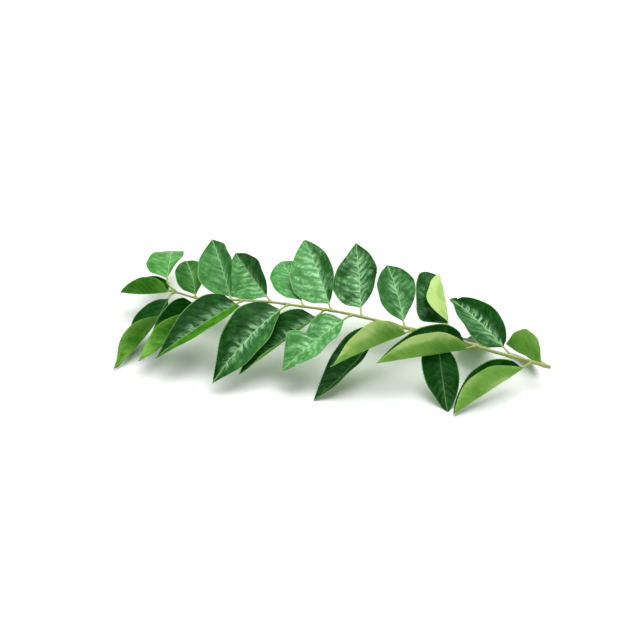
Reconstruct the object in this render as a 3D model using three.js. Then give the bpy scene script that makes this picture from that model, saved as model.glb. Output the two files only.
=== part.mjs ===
// Curry leaf sprig: one pinnate leaf of the curry tree, picked and lying on a surface.
// Millimetres, +Z up, the surface it lies on is z = 0. The stem runs along X with its cut
// end at +X. The stem is one solid and each leaflet, with its short stalk, is another.

import * as THREE from "three";

const { Vector3 } = THREE;
const UP = new Vector3(0, 0, 1);

// ---- Driving dimensions -----------------------------------------------------------------

const FIT_GAP = 0.3; // between a leaflet's stalk and the stem

const STEM_RADIUS_CUT = 1.05;
const STEM_RADIUS_TIP = 0.45;
const STEM_SIDES = 8;
const STEM_STEPS = 56;

// The stem's centre line from the cut end: it arches up on its leaflets and bends at the tip.
const STEM_LINE = [
  [106, 1.5, 9],
  [94, -1, 12],
  [79, -3, 15],
  [61, -3, 18],
  [42, -5, 20],
  [21, -4, 21],
  [6, -4, 21.5],
  [-9, -5, 21.5],
  [-24, -5.5, 21],
  [-40, -7.5, 20],
  [-56, -8.5, 18],
  [-66, -6, 17],
  [-73, -3.8, 16.2],
];

const STALK_RADIUS = 0.52;
const STALK_STEPS = 4;
const STALK_TURN = 55; // a usual stalk's angle from the stem where it starts

const BLADE_THICKNESS = 0.35;
const BLADE_RINGS = 14;
const BLADE_SHOULDER = 0.05; // share of the blade over which the round stalk flattens out
const RIB_WIDTH = 0.8; // from the midrib's middle to its foot on the blade
const RIB_DEPTH = 0.35; // how far the midrib stands out of the underside at the base
const TIP_HALF_WIDTH = 0.4;
const FOLD_ROOM = 0.8; // share of the rib's half width that the folded thickness may fill
const FLOOR_BEND = 0.8; // height range over which a blade bends flat onto the surface

const FRONT = -1;
const BACK = 1;

// What a leaflet has unless its own line says otherwise, in millimetres and degrees. "turn" is
// measured from the stem's tipward direction and "rise" above level. "roll" lowers the half
// towards the stem's tip. "fold" lifts both halves into a V. From the blade's base to its tip
// "droop" takes from rise, and "sweep", "twist" and "close" add to turn, roll and fold. "belly"
// is where the blade is widest, "taper" how fast it narrows past that, "lobe" how much wider the
// half towards the stem's tip is, and "skew" how much further up the other half is widest.
const USUAL = {
  turn: 60, rise: 0, roll: 0,
  length: 42, width: 20, fold: 15,
  droop: 15, sweep: 0, twist: 0, close: 0,
  belly: 0.4, taper: 1, lobe: 0.1, skew: 0,
  stalk: 4, stalkTurn: null, stalkRise: 0,
};

// The row nearer the viewer, from the cut end. "at" is the distance from the cut end.
const FRONT_ROW = [
  {
    at: 9.5, turn: 41.5, rise: -14, roll: 16, length: 39.5, width: 23, fold: 70, droop: 0,
    twist: 28, belly: 0.5, taper: 0.9, lobe: 0,
  },
  {
    at: 35, turn: 38, rise: 1, roll: 18, length: 43, width: 24, fold: 72, droop: 0, twist: 20,
    stalk: 2.5,
  },
  { at: 51, turn: 108, rise: -42, length: 34, width: 17, droop: -18 },
  {
    at: 63.5, turn: 50, rise: 1, roll: 38, length: 41.5, width: 22, fold: 60, droop: 8, twist: 16,
    belly: 0.38, taper: 1.3, lobe: 0, stalk: 2.5,
  },
  { at: 75, turn: 66, rise: -40, roll: 8, length: 45, fold: 35, droop: -30 },
  {
    at: 92, turn: 62, rise: -10, roll: -6, length: 38.5, fold: 22, droop: 12, belly: 0.5,
    taper: 0.8, lobe: 0,
  },
  {
    at: 105, turn: 52, rise: -18, roll: 14, length: 45, width: 19, fold: 38, droop: 1, lobe: 0.27,
    stalkRise: -30,
  },
  {
    at: 122, turn: 69, rise: -3.5, roll: 1, length: 50, width: 23, fold: 22, droop: 30,
    sweep: 0.5, twist: -33, close: -0.5, taper: 1.15, lobe: 0.12, skew: 0.06, stalk: 3.9,
  },
  {
    at: 144, turn: 55.5, rise: -2.5, roll: -1, length: 48.5, width: 21.5, fold: 29.5, droop: 16,
    sweep: -2, twist: -3.5, close: -15.5, belly: 0.37, taper: 1.21, lobe: 0.11, skew: -0.1,
    stalk: 2.3,
  },
  {
    at: 164, turn: 89.5, rise: -24, roll: -21.5, length: 43.5, width: 21, fold: 42, droop: -25.5,
    sweep: -18, twist: 122.5, close: 46, belly: 0.37, taper: 1.02, lobe: 0.07, skew: 0.02,
    stalk: 2.9,
  },
  {
    at: 180, turn: 110.5, rise: -18.5, roll: -17, length: 46.5, width: 22, fold: 8.5, droop: -0.5,
    sweep: -28, twist: 143, close: 51.5, belly: 0.47, taper: 1.38, lobe: 0.08, skew: 0.02,
    stalk: 4.4,
  },
];

// The row behind the stem, from the cut end.
const BACK_ROW = [
  {
    at: 3, turn: 55.5, rise: -10.5, roll: -70, length: 28, width: 19.5, fold: 26, droop: 4,
    sweep: 2, twist: 1.5, close: -4.5, belly: 0.44, taper: 0.97, lobe: 0.23, skew: 0.06,
    stalk: 1.5,
  },
  {
    at: 18, turn: 48, rise: 15, roll: 10, length: 40.5, width: 21, droop: 16, sweep: -1,
    twist: -6.5, close: 24, belly: 0.38, taper: 0.9, lobe: 0.11, skew: 0.05, stalk: 5.6,
  },
  {
    at: 33.5, turn: 76, rise: -25, roll: 3, length: 36, width: 18, fold: 10, droop: 14,
    stalkRise: -20,
  },
  {
    at: 46, turn: 72, rise: 22, roll: 72.5, length: 35.5, width: 26, fold: 69, droop: 25.5,
    sweep: -2.5, twist: -19.5, close: 12, belly: 0.44, taper: 0.5, lobe: 0.08, skew: -0.14,
    stalk: 8,
  },
  {
    at: 67, turn: 66.5, rise: 16.5, roll: 1, length: 40.5, width: 20.5, fold: 24.5, droop: 13.5,
    sweep: -7.5, twist: -5.5, close: -0.5, belly: 0.43, taper: 1.03, lobe: 0.09, skew: 0.07,
    stalk: 3.1,
  },
  {
    at: 87.5, turn: 69.5, rise: 23, roll: 18, length: 38.5, width: 22, fold: 14.5, droop: 2.5,
    sweep: -4.5, twist: 2, close: -1, belly: 0.42, taper: 1.08, lobe: 0.14, skew: 0.01,
    stalk: 4.8,
  },
  {
    at: 102, turn: 58.5, rise: 23.5, roll: 21.5, length: 41, width: 21.5, fold: 13, droop: 9.5,
    sweep: -5.5, twist: 1, close: -6, belly: 0.45, taper: 0.92, lobe: 0.31, skew: 0.02,
    stalk: 3.4,
  },
  { at: 115, rise: 8, roll: 10, length: 40, fold: 20, droop: 20 },
  {
    at: 131, turn: 48.5, rise: 5.5, roll: 37, length: 39.5, width: 23, fold: 26.5, droop: 2,
    sweep: 4, twist: 4.5, close: -7.5, belly: 0.46, taper: 1.04, lobe: 0.3, skew: -0.02,
    stalk: 3.6,
  },
  {
    at: 149.5, turn: 63, rise: 17, roll: 32, length: 40, width: 22.5, fold: 42.5, droop: 5,
    sweep: -4, twist: -10.5, close: -2.5, taper: 1.05, lobe: 0.17, skew: 0.01, stalk: 1.5,
  },
  {
    at: 168, turn: 50, rise: 6, roll: 18, length: 32.5, width: 17.25, fold: 37.5, droop: 11,
    sweep: -12, twist: -15.5, close: -5.5, belly: 0.41, taper: 0.84, lobe: 0.08, skew: -0.1,
    stalk: 1.7,
  },
  {
    at: 182, turn: 54.5, rise: 12.5, roll: -5.5, length: 47, width: 17.25, fold: 4.5, droop: 52.5,
    sweep: -9, twist: 4, close: -7, belly: 0.31, taper: 1.12, lobe: 0.28, skew: 0.23, stalk: 8,
    stalkTurn: -5, stalkRise: 30,
  },
];

// The single leaflet that ends the stem.
const END_LEAFLET = {
  turn: 18, rise: -20, roll: 45, length: 26, width: 18.75, fold: 60, droop: -16, twist: -44.5,
  close: 2.5, belly: 0.44, taper: 0.76, lobe: 0.01, skew: -0.03, stalk: 1.5,
};

// ---- Small helpers ----------------------------------------------------------------------

const radians = THREE.MathUtils.degToRad;
const smooth = (u) => u * u * (3 - 2 * u);
const mix = THREE.MathUtils.lerp;

/** A sum of vectors, each times its own factor: sum(origin, a, 2, b, 3). */
function sum(origin, ...terms) {
  const total = origin.clone();
  for (let i = 0; i < terms.length; i += 2) {
    total.addScaledVector(terms[i], terms[i + 1]);
  }
  return total;
}

/** A height bent flat onto the surface z = 0. */
function onSurface(z) {
  if (z < -FLOOR_BEND) return 0;
  if (z > FLOOR_BEND) return z;
  return (z + FLOOR_BEND) ** 2 / (4 * FLOOR_BEND);
}

/** A closed body through rings of points, with a cap of rungs across each end. */
function loft(rings) {
  const count = rings[0].length;
  const positions = rings.flat().flatMap((point) => point.toArray());
  const faces = [];
  for (let r = 0; r + 1 < rings.length; r++) {
    for (let k = 0; k < count; k++) {
      const a = r * count + k;
      const b = r * count + ((k + 1) % count);
      faces.push(a, b, b + count, a, b + count, a + count);
    }
  }
  const last = (rings.length - 1) * count;
  for (let k = 0; k + 1 < count / 2; k++) {
    const [a, b, c, d] = [k, k + 1, count - 2 - k, count - 1 - k];
    faces.push(a, c, b, a, d, c);
    faces.push(last + a, last + b, last + c, last + a, last + c, last + d);
  }
  const geometry = new THREE.BufferGeometry();
  geometry.setAttribute("position", new THREE.Float32BufferAttribute(positions, 3));
  geometry.setIndex(faces);
  return volume(geometry) < 0 ? turnedOutward(geometry) : geometry;
}

/** Signed volume of a closed geometry: negative where its faces point in. */
function volume(geometry) {
  const at = geometry.attributes.position;
  const index = geometry.index.array;
  const [a, b, c] = [new Vector3(), new Vector3(), new Vector3()];
  let total = 0;
  for (let i = 0; i < index.length; i += 3) {
    a.fromBufferAttribute(at, index[i]);
    b.fromBufferAttribute(at, index[i + 1]);
    c.fromBufferAttribute(at, index[i + 2]);
    total += a.dot(b.cross(c)) / 6;
  }
  return total;
}

/** The same geometry with every face turned over. */
function turnedOutward(geometry) {
  geometry.setIndex([...geometry.index.array].reverse());
  return geometry;
}

// ---- Stem -------------------------------------------------------------------------------

const stemCurve = new THREE.CatmullRomCurve3(
  STEM_LINE.map((point) => new Vector3(...point)),
  false,
  "centripetal",
);
stemCurve.arcLengthDivisions = 1000;
const stemLength = stemCurve.getLength();

/** Where the stem is at a distance from its cut end, which way its tip lies, and its radius. */
function stemAt(distance) {
  const share = Math.min(distance / stemLength, 1);
  return {
    point: stemCurve.getPointAt(share),
    tangent: stemCurve.getTangentAt(share),
    radius: mix(STEM_RADIUS_CUT, STEM_RADIUS_TIP, share),
  };
}

/** A ring of points about a centre, in the plane of two directions. */
function circle(centre, right, top, radius, sides) {
  return Array.from({ length: sides }, (_, k) => {
    const angle = Math.PI - (Math.PI * (2 * k + 1)) / sides;
    return sum(centre, right, radius * Math.cos(angle), top, radius * Math.sin(angle));
  });
}

function stemGeometry() {
  const rings = [];
  for (let i = 0; i <= STEM_STEPS; i++) {
    const { point, tangent, radius } = stemAt((stemLength * i) / STEM_STEPS);
    const right = new Vector3().crossVectors(tangent, UP).normalize();
    const top = new Vector3().crossVectors(right, tangent);
    rings.push(circle(point, right, top, radius, STEM_SIDES));
  }
  return loft(rings);
}

// ---- Leaflets ---------------------------------------------------------------------------

/** A leaflet's directions: along it, across it towards the stem's tip, and out of its face. */
function directions(side, tipward, turn, rise, roll) {
  const across = new Vector3(tipward.y, -tipward.x, 0).multiplyScalar(side);
  const [t, s, r] = [turn, rise, roll].map(radians);
  const level = sum(new Vector3(), tipward, Math.cos(t), across, Math.sin(t));
  const lateral = sum(new Vector3(), tipward, Math.sin(t), across, -Math.cos(t));
  const along = sum(new Vector3(), level, Math.cos(s), UP, Math.sin(s));
  const face = new Vector3().crossVectors(along, lateral).multiplyScalar(side);
  return {
    along,
    lateral: sum(new Vector3(), lateral, Math.cos(r), face, -Math.sin(r)),
    face: sum(new Vector3(), face, Math.cos(r), lateral, Math.sin(r)),
  };
}

/** Share of the full half width at a share t of the blade's length. */
function outline(t, belly, taper) {
  const base = (taper * belly) / (1 - belly);
  const peak = belly ** base * (1 - belly) ** taper;
  return (t ** base * (1 - t) ** taper) / peak;
}

/** The middle line of a leaflet: stations along its stalk, then along its blade. */
function midline(leaf) {
  const { point, tangent, radius } = stemAt(leaf.at);
  const tipward = new Vector3(tangent.x, tangent.y, 0).normalize();
  const across = new Vector3(tipward.y, -tipward.x, 0).multiplyScalar(leaf.side);
  const startTurn = leaf.ends ? leaf.turn : leaf.stalkTurn ?? mix(leaf.turn, STALK_TURN, 0.45);
  const lean = radians(startTurn);
  const place = leaf.ends
    ? sum(point, tangent, FIT_GAP + STALK_RADIUS * Math.sin(lean))
    : sum(point, across, radius + FIT_GAP + STALK_RADIUS * Math.cos(lean));

  const stations = [];
  const stalkFrame = (u, roll) => directions(
    leaf.side, tipward,
    mix(startTurn, leaf.turn, smooth(u)), mix(leaf.stalkRise, leaf.rise, smooth(u)), roll,
  );
  for (let i = 0; i < STALK_STEPS; i++) {
    const u = i / STALK_STEPS;
    stations.push({ place: place.clone(), t: -1, ...stalkFrame(u, leaf.roll * smooth(u)) });
    place.addScaledVector(stalkFrame(u + 0.5 / STALK_STEPS, 0).along, leaf.stalk / STALK_STEPS);
  }
  const bladeFrame = (u) => directions(
    leaf.side, tipward,
    leaf.turn + leaf.sweep * u, leaf.rise - leaf.droop * u, leaf.roll + leaf.twist * u,
  );
  const shares = Array.from(
    { length: BLADE_RINGS + 1 },
    (_, i) => (1 - Math.cos((Math.PI * i) / BLADE_RINGS)) / 2,
  );
  shares.forEach((t, i) => {
    const before = i > 0 ? shares[i - 1] : 0;
    place.addScaledVector(bladeFrame((t + before) / 2).along, leaf.length * (t - before));
    stations.push({ place: place.clone(), t, ...bladeFrame(t) });
  });
  return stations;
}

/** The ten points around a folded blade: five on its upper side, then five on its underside. */
function bladeRing(leaf, { place, t, lateral, face }) {
  const half = BLADE_THICKNESS / 2;
  const reach = (wide, belly) => {
    const width = (leaf.width / 2) * wide * outline(t, belly, leaf.taper);
    return Math.max(width, TIP_HALF_WIDTH);
  };
  const reaches = [
    reach(1 + leaf.lobe, leaf.belly - 0.07),
    reach(1 - leaf.lobe, leaf.belly + 0.03 + leaf.skew),
  ];
  const foot = Math.min(RIB_WIDTH, ...reaches.map((width) => width / 2));

  // Where the blade is narrow, its own thickness keeps the fold open.
  const fold = Math.min(radians(leaf.fold + leaf.close * t), Math.atan((FOLD_ROOM * foot) / half));
  const mitre = 1 / Math.cos(fold);
  const [tipHalf, baseHalf] = [1, -1].map((sign, i) => ({
    out: sum(new Vector3(), lateral, sign * Math.cos(fold), face, Math.sin(fold)),
    normal: sum(new Vector3(), face, Math.cos(fold), lateral, -sign * Math.sin(fold)),
    edge: reaches[i],
  }));
  const on = ({ out, normal }, distance, above) => {
    const middle = sum(place, out, distance);
    middle.z = onSurface(middle.z - half) + half;
    return sum(middle, normal, above * half);
  };
  const rib = (depth) => {
    const middle = place.clone();
    middle.z = onSurface(middle.z - half) + half;
    return sum(middle, face, depth);
  };
  const ring = [
    on(tipHalf, tipHalf.edge, 1),
    on(tipHalf, foot, 1),
    rib(half * mitre),
    on(baseHalf, foot, 1),
    on(baseHalf, baseHalf.edge, 1),
    on(baseHalf, baseHalf.edge, -1),
    on(baseHalf, foot, -1),
    rib(-half * mitre - RIB_DEPTH * (1 - t)),
    on(tipHalf, foot, -1),
    on(tipHalf, tipHalf.edge, -1),
  ];
  ring.forEach((point) => {
    point.z = Math.max(point.z, 0);
  });
  return ring;
}

function leafletGeometry(leaf, foot) {
  const rings = midline(leaf).map((station) => {
    const round = circle(station.place, station.lateral.clone().negate(), station.face, STALK_RADIUS, 10);
    if (station.t <= 0) return round;
    const flattened = smooth(Math.min(station.t / BLADE_SHOULDER, 1));
    return bladeRing(leaf, station).map((point, k) => round[k].lerp(point, flattened));
  });
  return loft(rings.map((ring) => ring.map((point) => point.sub(foot))));
}

// ---- Materials --------------------------------------------------------------------------

const stemMaterial = () =>
  new THREE.MeshStandardMaterial({ color: 0x8d8a4e, roughness: 0.6, metalness: 0 });

/** Fresh growth towards the stem's tip is lighter than the leaflets by the cut end. */
function leafMaterial(at) {
  const color = new THREE.Color(0x1f5a2c).lerp(new THREE.Color(0x2f7a2a), at / stemLength);
  return new THREE.MeshStandardMaterial({ color, roughness: 0.42, metalness: 0 });
}

// ---- Assembly ---------------------------------------------------------------------------

function named(name, geometry, material) {
  const mesh = new THREE.Mesh(geometry, material);
  mesh.name = name;
  return mesh;
}

function leaflet(name, values) {
  const leaf = { ...USUAL, ...values };
  const foot = stemAt(leaf.at).point;
  const mesh = named(name, leafletGeometry(leaf, foot), leafMaterial(leaf.at));
  mesh.position.copy(foot);
  return mesh;
}

const group = new THREE.Group();
group.add(named("rachis", stemGeometry(), stemMaterial()));
FRONT_ROW.forEach((values, i) => {
  group.add(leaflet(`leaflet_front_${i + 1}`, { ...values, side: FRONT }));
});
BACK_ROW.forEach((values, i) => {
  group.add(leaflet(`leaflet_back_${i + 1}`, { ...values, side: BACK }));
});
group.add(leaflet("leaflet_tip", { ...END_LEAFLET, at: stemLength, side: FRONT, ends: true }));

// The origin is on the surface, under the middle of the sprig.
const middle = new THREE.Box3().setFromObject(group).getCenter(new Vector3());
group.position.set(-middle.x, -middle.y, 0);

export default group;
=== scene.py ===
"""Curry leaf sprig: one picked leaf of the curry tree, lying on a pale surface.

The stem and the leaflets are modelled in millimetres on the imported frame's own lines and
turned into metres when their meshes are made. One Geometry Nodes tree draws the stem along
its line, and a second one raises the veins and the quilted pads of every leaflet.
"""

import logging
import math
from collections.abc import Iterator
from dataclasses import dataclass, field
from enum import Enum

import bpy
import numpy as np
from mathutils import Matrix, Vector


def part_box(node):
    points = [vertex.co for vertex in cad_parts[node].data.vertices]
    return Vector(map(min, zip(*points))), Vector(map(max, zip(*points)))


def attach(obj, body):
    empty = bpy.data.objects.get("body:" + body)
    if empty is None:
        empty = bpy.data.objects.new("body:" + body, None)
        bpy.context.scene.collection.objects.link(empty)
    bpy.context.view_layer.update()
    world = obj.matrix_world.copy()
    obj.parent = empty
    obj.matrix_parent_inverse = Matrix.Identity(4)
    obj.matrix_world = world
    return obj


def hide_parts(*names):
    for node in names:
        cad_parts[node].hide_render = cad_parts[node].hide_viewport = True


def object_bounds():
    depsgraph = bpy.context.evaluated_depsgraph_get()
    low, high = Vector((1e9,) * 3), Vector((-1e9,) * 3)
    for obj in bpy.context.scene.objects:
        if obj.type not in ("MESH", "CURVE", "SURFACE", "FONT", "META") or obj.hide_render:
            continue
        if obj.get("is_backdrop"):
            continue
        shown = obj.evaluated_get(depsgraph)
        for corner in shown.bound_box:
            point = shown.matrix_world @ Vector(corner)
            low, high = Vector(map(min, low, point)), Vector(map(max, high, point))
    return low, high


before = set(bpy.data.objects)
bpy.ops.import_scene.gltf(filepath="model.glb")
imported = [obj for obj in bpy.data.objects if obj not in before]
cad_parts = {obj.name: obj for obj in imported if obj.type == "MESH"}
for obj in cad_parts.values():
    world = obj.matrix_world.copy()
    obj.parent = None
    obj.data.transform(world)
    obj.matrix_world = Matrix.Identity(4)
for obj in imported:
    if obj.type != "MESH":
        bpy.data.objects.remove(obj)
CAD_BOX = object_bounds()

log = logging.getLogger("sprig")

MM = 0.001

# How the side veins run: pairs on a blade, tipward slope and its bow, the step between both
# halves, and how far and over what size they stray.
VEIN_PAIRS = 9.5
VEIN_SLOPE = 0.2
VEIN_BOW = 1.3
VEIN_STEP = 0.45
VEIN_STRAY = 1.3
VEIN_STRAY_SIZE = 0.16

Node = bpy.types.Node
Output = bpy.types.NodeSocket
Outputs = bpy.types.NodeOutputs
Tree = bpy.types.NodeTree
Material = bpy.types.Material
Piece = bpy.types.Object
Point = tuple[float, float, float]
Pair = tuple[float, float]
Colour = tuple[float, ...]
Feed = float | str | Colour | Output | Material | None
Feeds = dict[str | int, Feed]
Halves = list[np.ndarray]


# ---- Choices ----------------------------------------------------------------------------


class Row(Enum):
    """Which side of the stem a leaflet grows on."""

    FRONT = -1
    BACK = 1


class Half(Enum):
    """The half of a blade that lies towards the stem's tip, and the other one."""

    TIPWARD = 1
    FOOTWARD = -1


class Skin(Enum):
    """The three coverings of a leaflet, in the order of its material slots."""

    UPPER = 0
    UNDER = 1
    STALK = 2


class Kind(Enum):
    """What a node group's socket carries."""

    NUMBER = "NodeSocketFloat"
    WHOLE = "NodeSocketInt"
    GEOMETRY = "NodeSocketGeometry"
    MATERIAL = "NodeSocketMaterial"


class Pattern(Enum):
    """The shader groups that the finishes share."""

    VEINS = "blade_veins"
    GRAIN = "surface_grain"


# ---- Node wiring ------------------------------------------------------------------------


class Wiring:
    """Adds nodes to one tree and joins them, in shader and geometry trees alike."""

    def __init__(self, tree: Tree) -> None:
        """Works on one tree.

        Args:
            tree: The shader or geometry tree to fill.
        """
        self.tree = tree

    def node(self, kind: str, feeds: Feeds | None = None, **settings: object) -> Node:
        """Adds a node.

        Args:
            kind: The node's type name.
            feeds: What goes into its inputs, by name or position.
            **settings: The node's own properties.

        Returns:
            The new node.
        """
        made = self.tree.nodes.new(kind)
        for key, value in settings.items():
            setattr(made, key, value)
        for name, feed in (feeds or {}).items():
            self.feed(made.inputs[name], feed)
        return made

    def first(self, kind: str, feeds: Feeds | None = None, **settings: object) -> Output:
        """Adds a node as node() does and returns its first output."""
        return self.node(kind, feeds, **settings).outputs[0]

    def feed(self, socket: bpy.types.NodeSocket, feed: Feed) -> None:
        """Links a socket to an output, or sets the socket's own value.

        Args:
            socket: The input to fill.
            feed: Another node's output, or a value.
        """
        if isinstance(feed, bpy.types.NodeSocket):
            self.tree.links.new(feed, socket)
        else:
            socket.default_value = feed

    def math(self, operation: str, *feeds: Feed, clamp: bool = False) -> Output:
        """One Math node.

        Args:
            operation: The node's operation.
            *feeds: Its operands in order.
            clamp: Whether the result is kept between 0 and 1.

        Returns:
            The result's socket.
        """
        operands = dict(enumerate(feeds))
        return self.first("ShaderNodeMath", operands, operation=operation, use_clamp=clamp)

    def plus(self, first: Feed, second: Feed, clamp: bool = False) -> Output:
        """The sum of two numbers."""
        return self.math("ADD", first, second, clamp=clamp)

    def less(self, first: Feed, second: Feed) -> Output:
        """The first number less the second."""
        return self.math("SUBTRACT", first, second)

    def times(self, first: Feed, second: Feed) -> Output:
        """The product of two numbers."""
        return self.math("MULTIPLY", first, second)

    def join(self, x: Feed, y: Feed, z: Feed) -> Output:
        """A vector made of three numbers."""
        return self.first("ShaderNodeCombineXYZ", {0: x, 1: y, 2: z})

    def split(self, vector: Feed) -> tuple[Output, ...]:
        """The three parts of a vector."""
        return tuple(self.node("ShaderNodeSeparateXYZ", {0: vector}).outputs)

    def scaled(self, vector: Feed, by: Feed) -> Output:
        """A vector times a number."""
        return self.first("ShaderNodeVectorMath", {0: vector, 3: by}, operation="SCALE")

    def ramp(self, value: Feed, low: Feed, high: Feed, to: Pair = (0.0, 1.0)) -> Output:
        """A smooth step from one value to another.

        Args:
            value: What is measured.
            low: Where the step starts.
            high: Where it ends.
            to: The result before and after the step.

        Returns:
            The result's socket.
        """
        feeds = {0: value, 1: low, 2: high, 3: to[0], 4: to[1]}
        return self.first("ShaderNodeMapRange", feeds, interpolation_type="SMOOTHSTEP")

    def blend(self, share: Feed, first: Feed, second: Feed) -> Output:
        """A colour between two.

        Args:
            share: How much of the second colour goes in.
            first: The first colour.
            second: The second colour.

        Returns:
            The colour's socket.
        """
        feeds = {0: share, 6: first, 7: second}
        return self.node("ShaderNodeMix", feeds, data_type="RGBA", blend_type="MIX").outputs[2]

    def noise(self, where: Feed, scale: Feed, detail: float = 2.0, rough: float = 0.5) -> Output:
        """A Noise Texture's value, 0 to 1.

        Args:
            where: The coordinate it reads.
            scale: How fine it is.
            detail: Octaves.
            rough: How strong the fine octaves are.

        Returns:
            The value's socket.
        """
        feeds = {"Vector": where, "Scale": scale, "Detail": detail, "Roughness": rough}
        return self.first("ShaderNodeTexNoise", feeds)

    def cells(self, where: Feed, scale: float, feature: str) -> Output:
        """A Voronoi Texture's distance.

        Args:
            where: The coordinate it reads.
            scale: How fine it is.
            feature: What the distance is measured to.

        Returns:
            The distance's socket.
        """
        feeds = {"Vector": where, "Scale": scale}
        return self.node("ShaderNodeTexVoronoi", feeds, feature=feature).outputs["Distance"]

    def bump(self, strength: float, depth: float, height: Feed) -> Output:
        """A normal that follows a fine relief.

        Args:
            strength: How strongly the relief shows.
            depth: Its depth in metres.
            height: The relief, 0 to 1.

        Returns:
            The normal's socket.
        """
        feeds = {"Strength": strength, "Distance": depth, "Height": height}
        return self.first("ShaderNodeBump", feeds)

    def stored(self, name: str, part: str = "Vector") -> Output:
        """Values stored on the mesh, as a shader reads them."""
        return self.node("ShaderNodeAttribute", attribute_name=name).outputs[part]

    def named(self, name: str, kind: str) -> Output:
        """Values stored on the mesh, as a geometry tree reads them."""
        return self.first("GeometryNodeInputNamedAttribute", {"Name": name}, data_type=kind)


@dataclass(frozen=True)
class Socket:
    """One named input or output of a node group."""

    name: str
    value: Feed = None
    kind: Kind = Kind.NUMBER


def new_tree(
    name: str, kind: str, inputs: list[Socket], outputs: list[Socket]
) -> tuple[Wiring, Node, Node]:
    """Makes a node group with named sockets.

    Args:
        name: The group's name.
        kind: "ShaderNodeTree" or "GeometryNodeTree".
        inputs: What goes in, with starting values.
        outputs: What comes out.

    Returns:
        The group's wiring, its input node and its output node.
    """
    tree = bpy.data.node_groups.new(name, kind)
    for direction, sockets in (("INPUT", inputs), ("OUTPUT", outputs)):
        for socket in sockets:
            made = tree.interface.new_socket(
                name=socket.name, in_out=direction, socket_type=socket.kind.value
            )
            if socket.value is not None:
                made.default_value = socket.value
    wire = Wiring(tree)
    return wire, wire.node("NodeGroupInput"), wire.node("NodeGroupOutput")


def place_group(wire: Wiring, pattern: Pattern, feeds: Feeds) -> Outputs:
    """Places a shared shader group in a material with this material's own values.

    Args:
        wire: The material's wiring.
        pattern: The group.
        feeds: What goes into its inputs.

    Returns:
        The placed group's outputs.
    """
    made = wire.node("ShaderNodeGroup", node_tree=bpy.data.node_groups[pattern.value])
    for key, feed in feeds.items():
        wire.feed(made.inputs[key], feed)
    return made.outputs


def vein_field(
    wire: Wiring, t: Feed, q: Feed, sheet: Feed, pairs: Feed, slope: Feed
) -> tuple[Output, Output]:
    """The side veins' own count along the blade, and how near each point is to a vein.

    Args:
        wire: The tree's wiring.
        t: Share of the blade's length.
        q: Share of its half width, negative on the footward half.
        sheet: The blade's flat coordinate in millimetres.
        pairs: How many veins leave the midrib on each side.
        slope: How far a vein runs tipward on its way to the margin.

    Returns:
        A socket that rises by 1 from each vein to the next, and one that is 0 on a vein and
        0.5 midway between two.
    """
    bow = wire.math("POWER", wire.math("ABSOLUTE", q), VEIN_BOW)
    level = wire.less(t, wire.times(slope, bow))
    step = wire.times(wire.math("GREATER_THAN", q, 0.0), VEIN_STEP)
    stray = wire.times(wire.less(wire.noise(sheet, VEIN_STRAY_SIZE, 1.0), 0.5), VEIN_STRAY)
    count = wire.plus(wire.times(level, pairs), wire.plus(step, stray))
    return count, wire.math("PINGPONG", count, 0.5)


# ---- Stem line --------------------------------------------------------------------------


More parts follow.
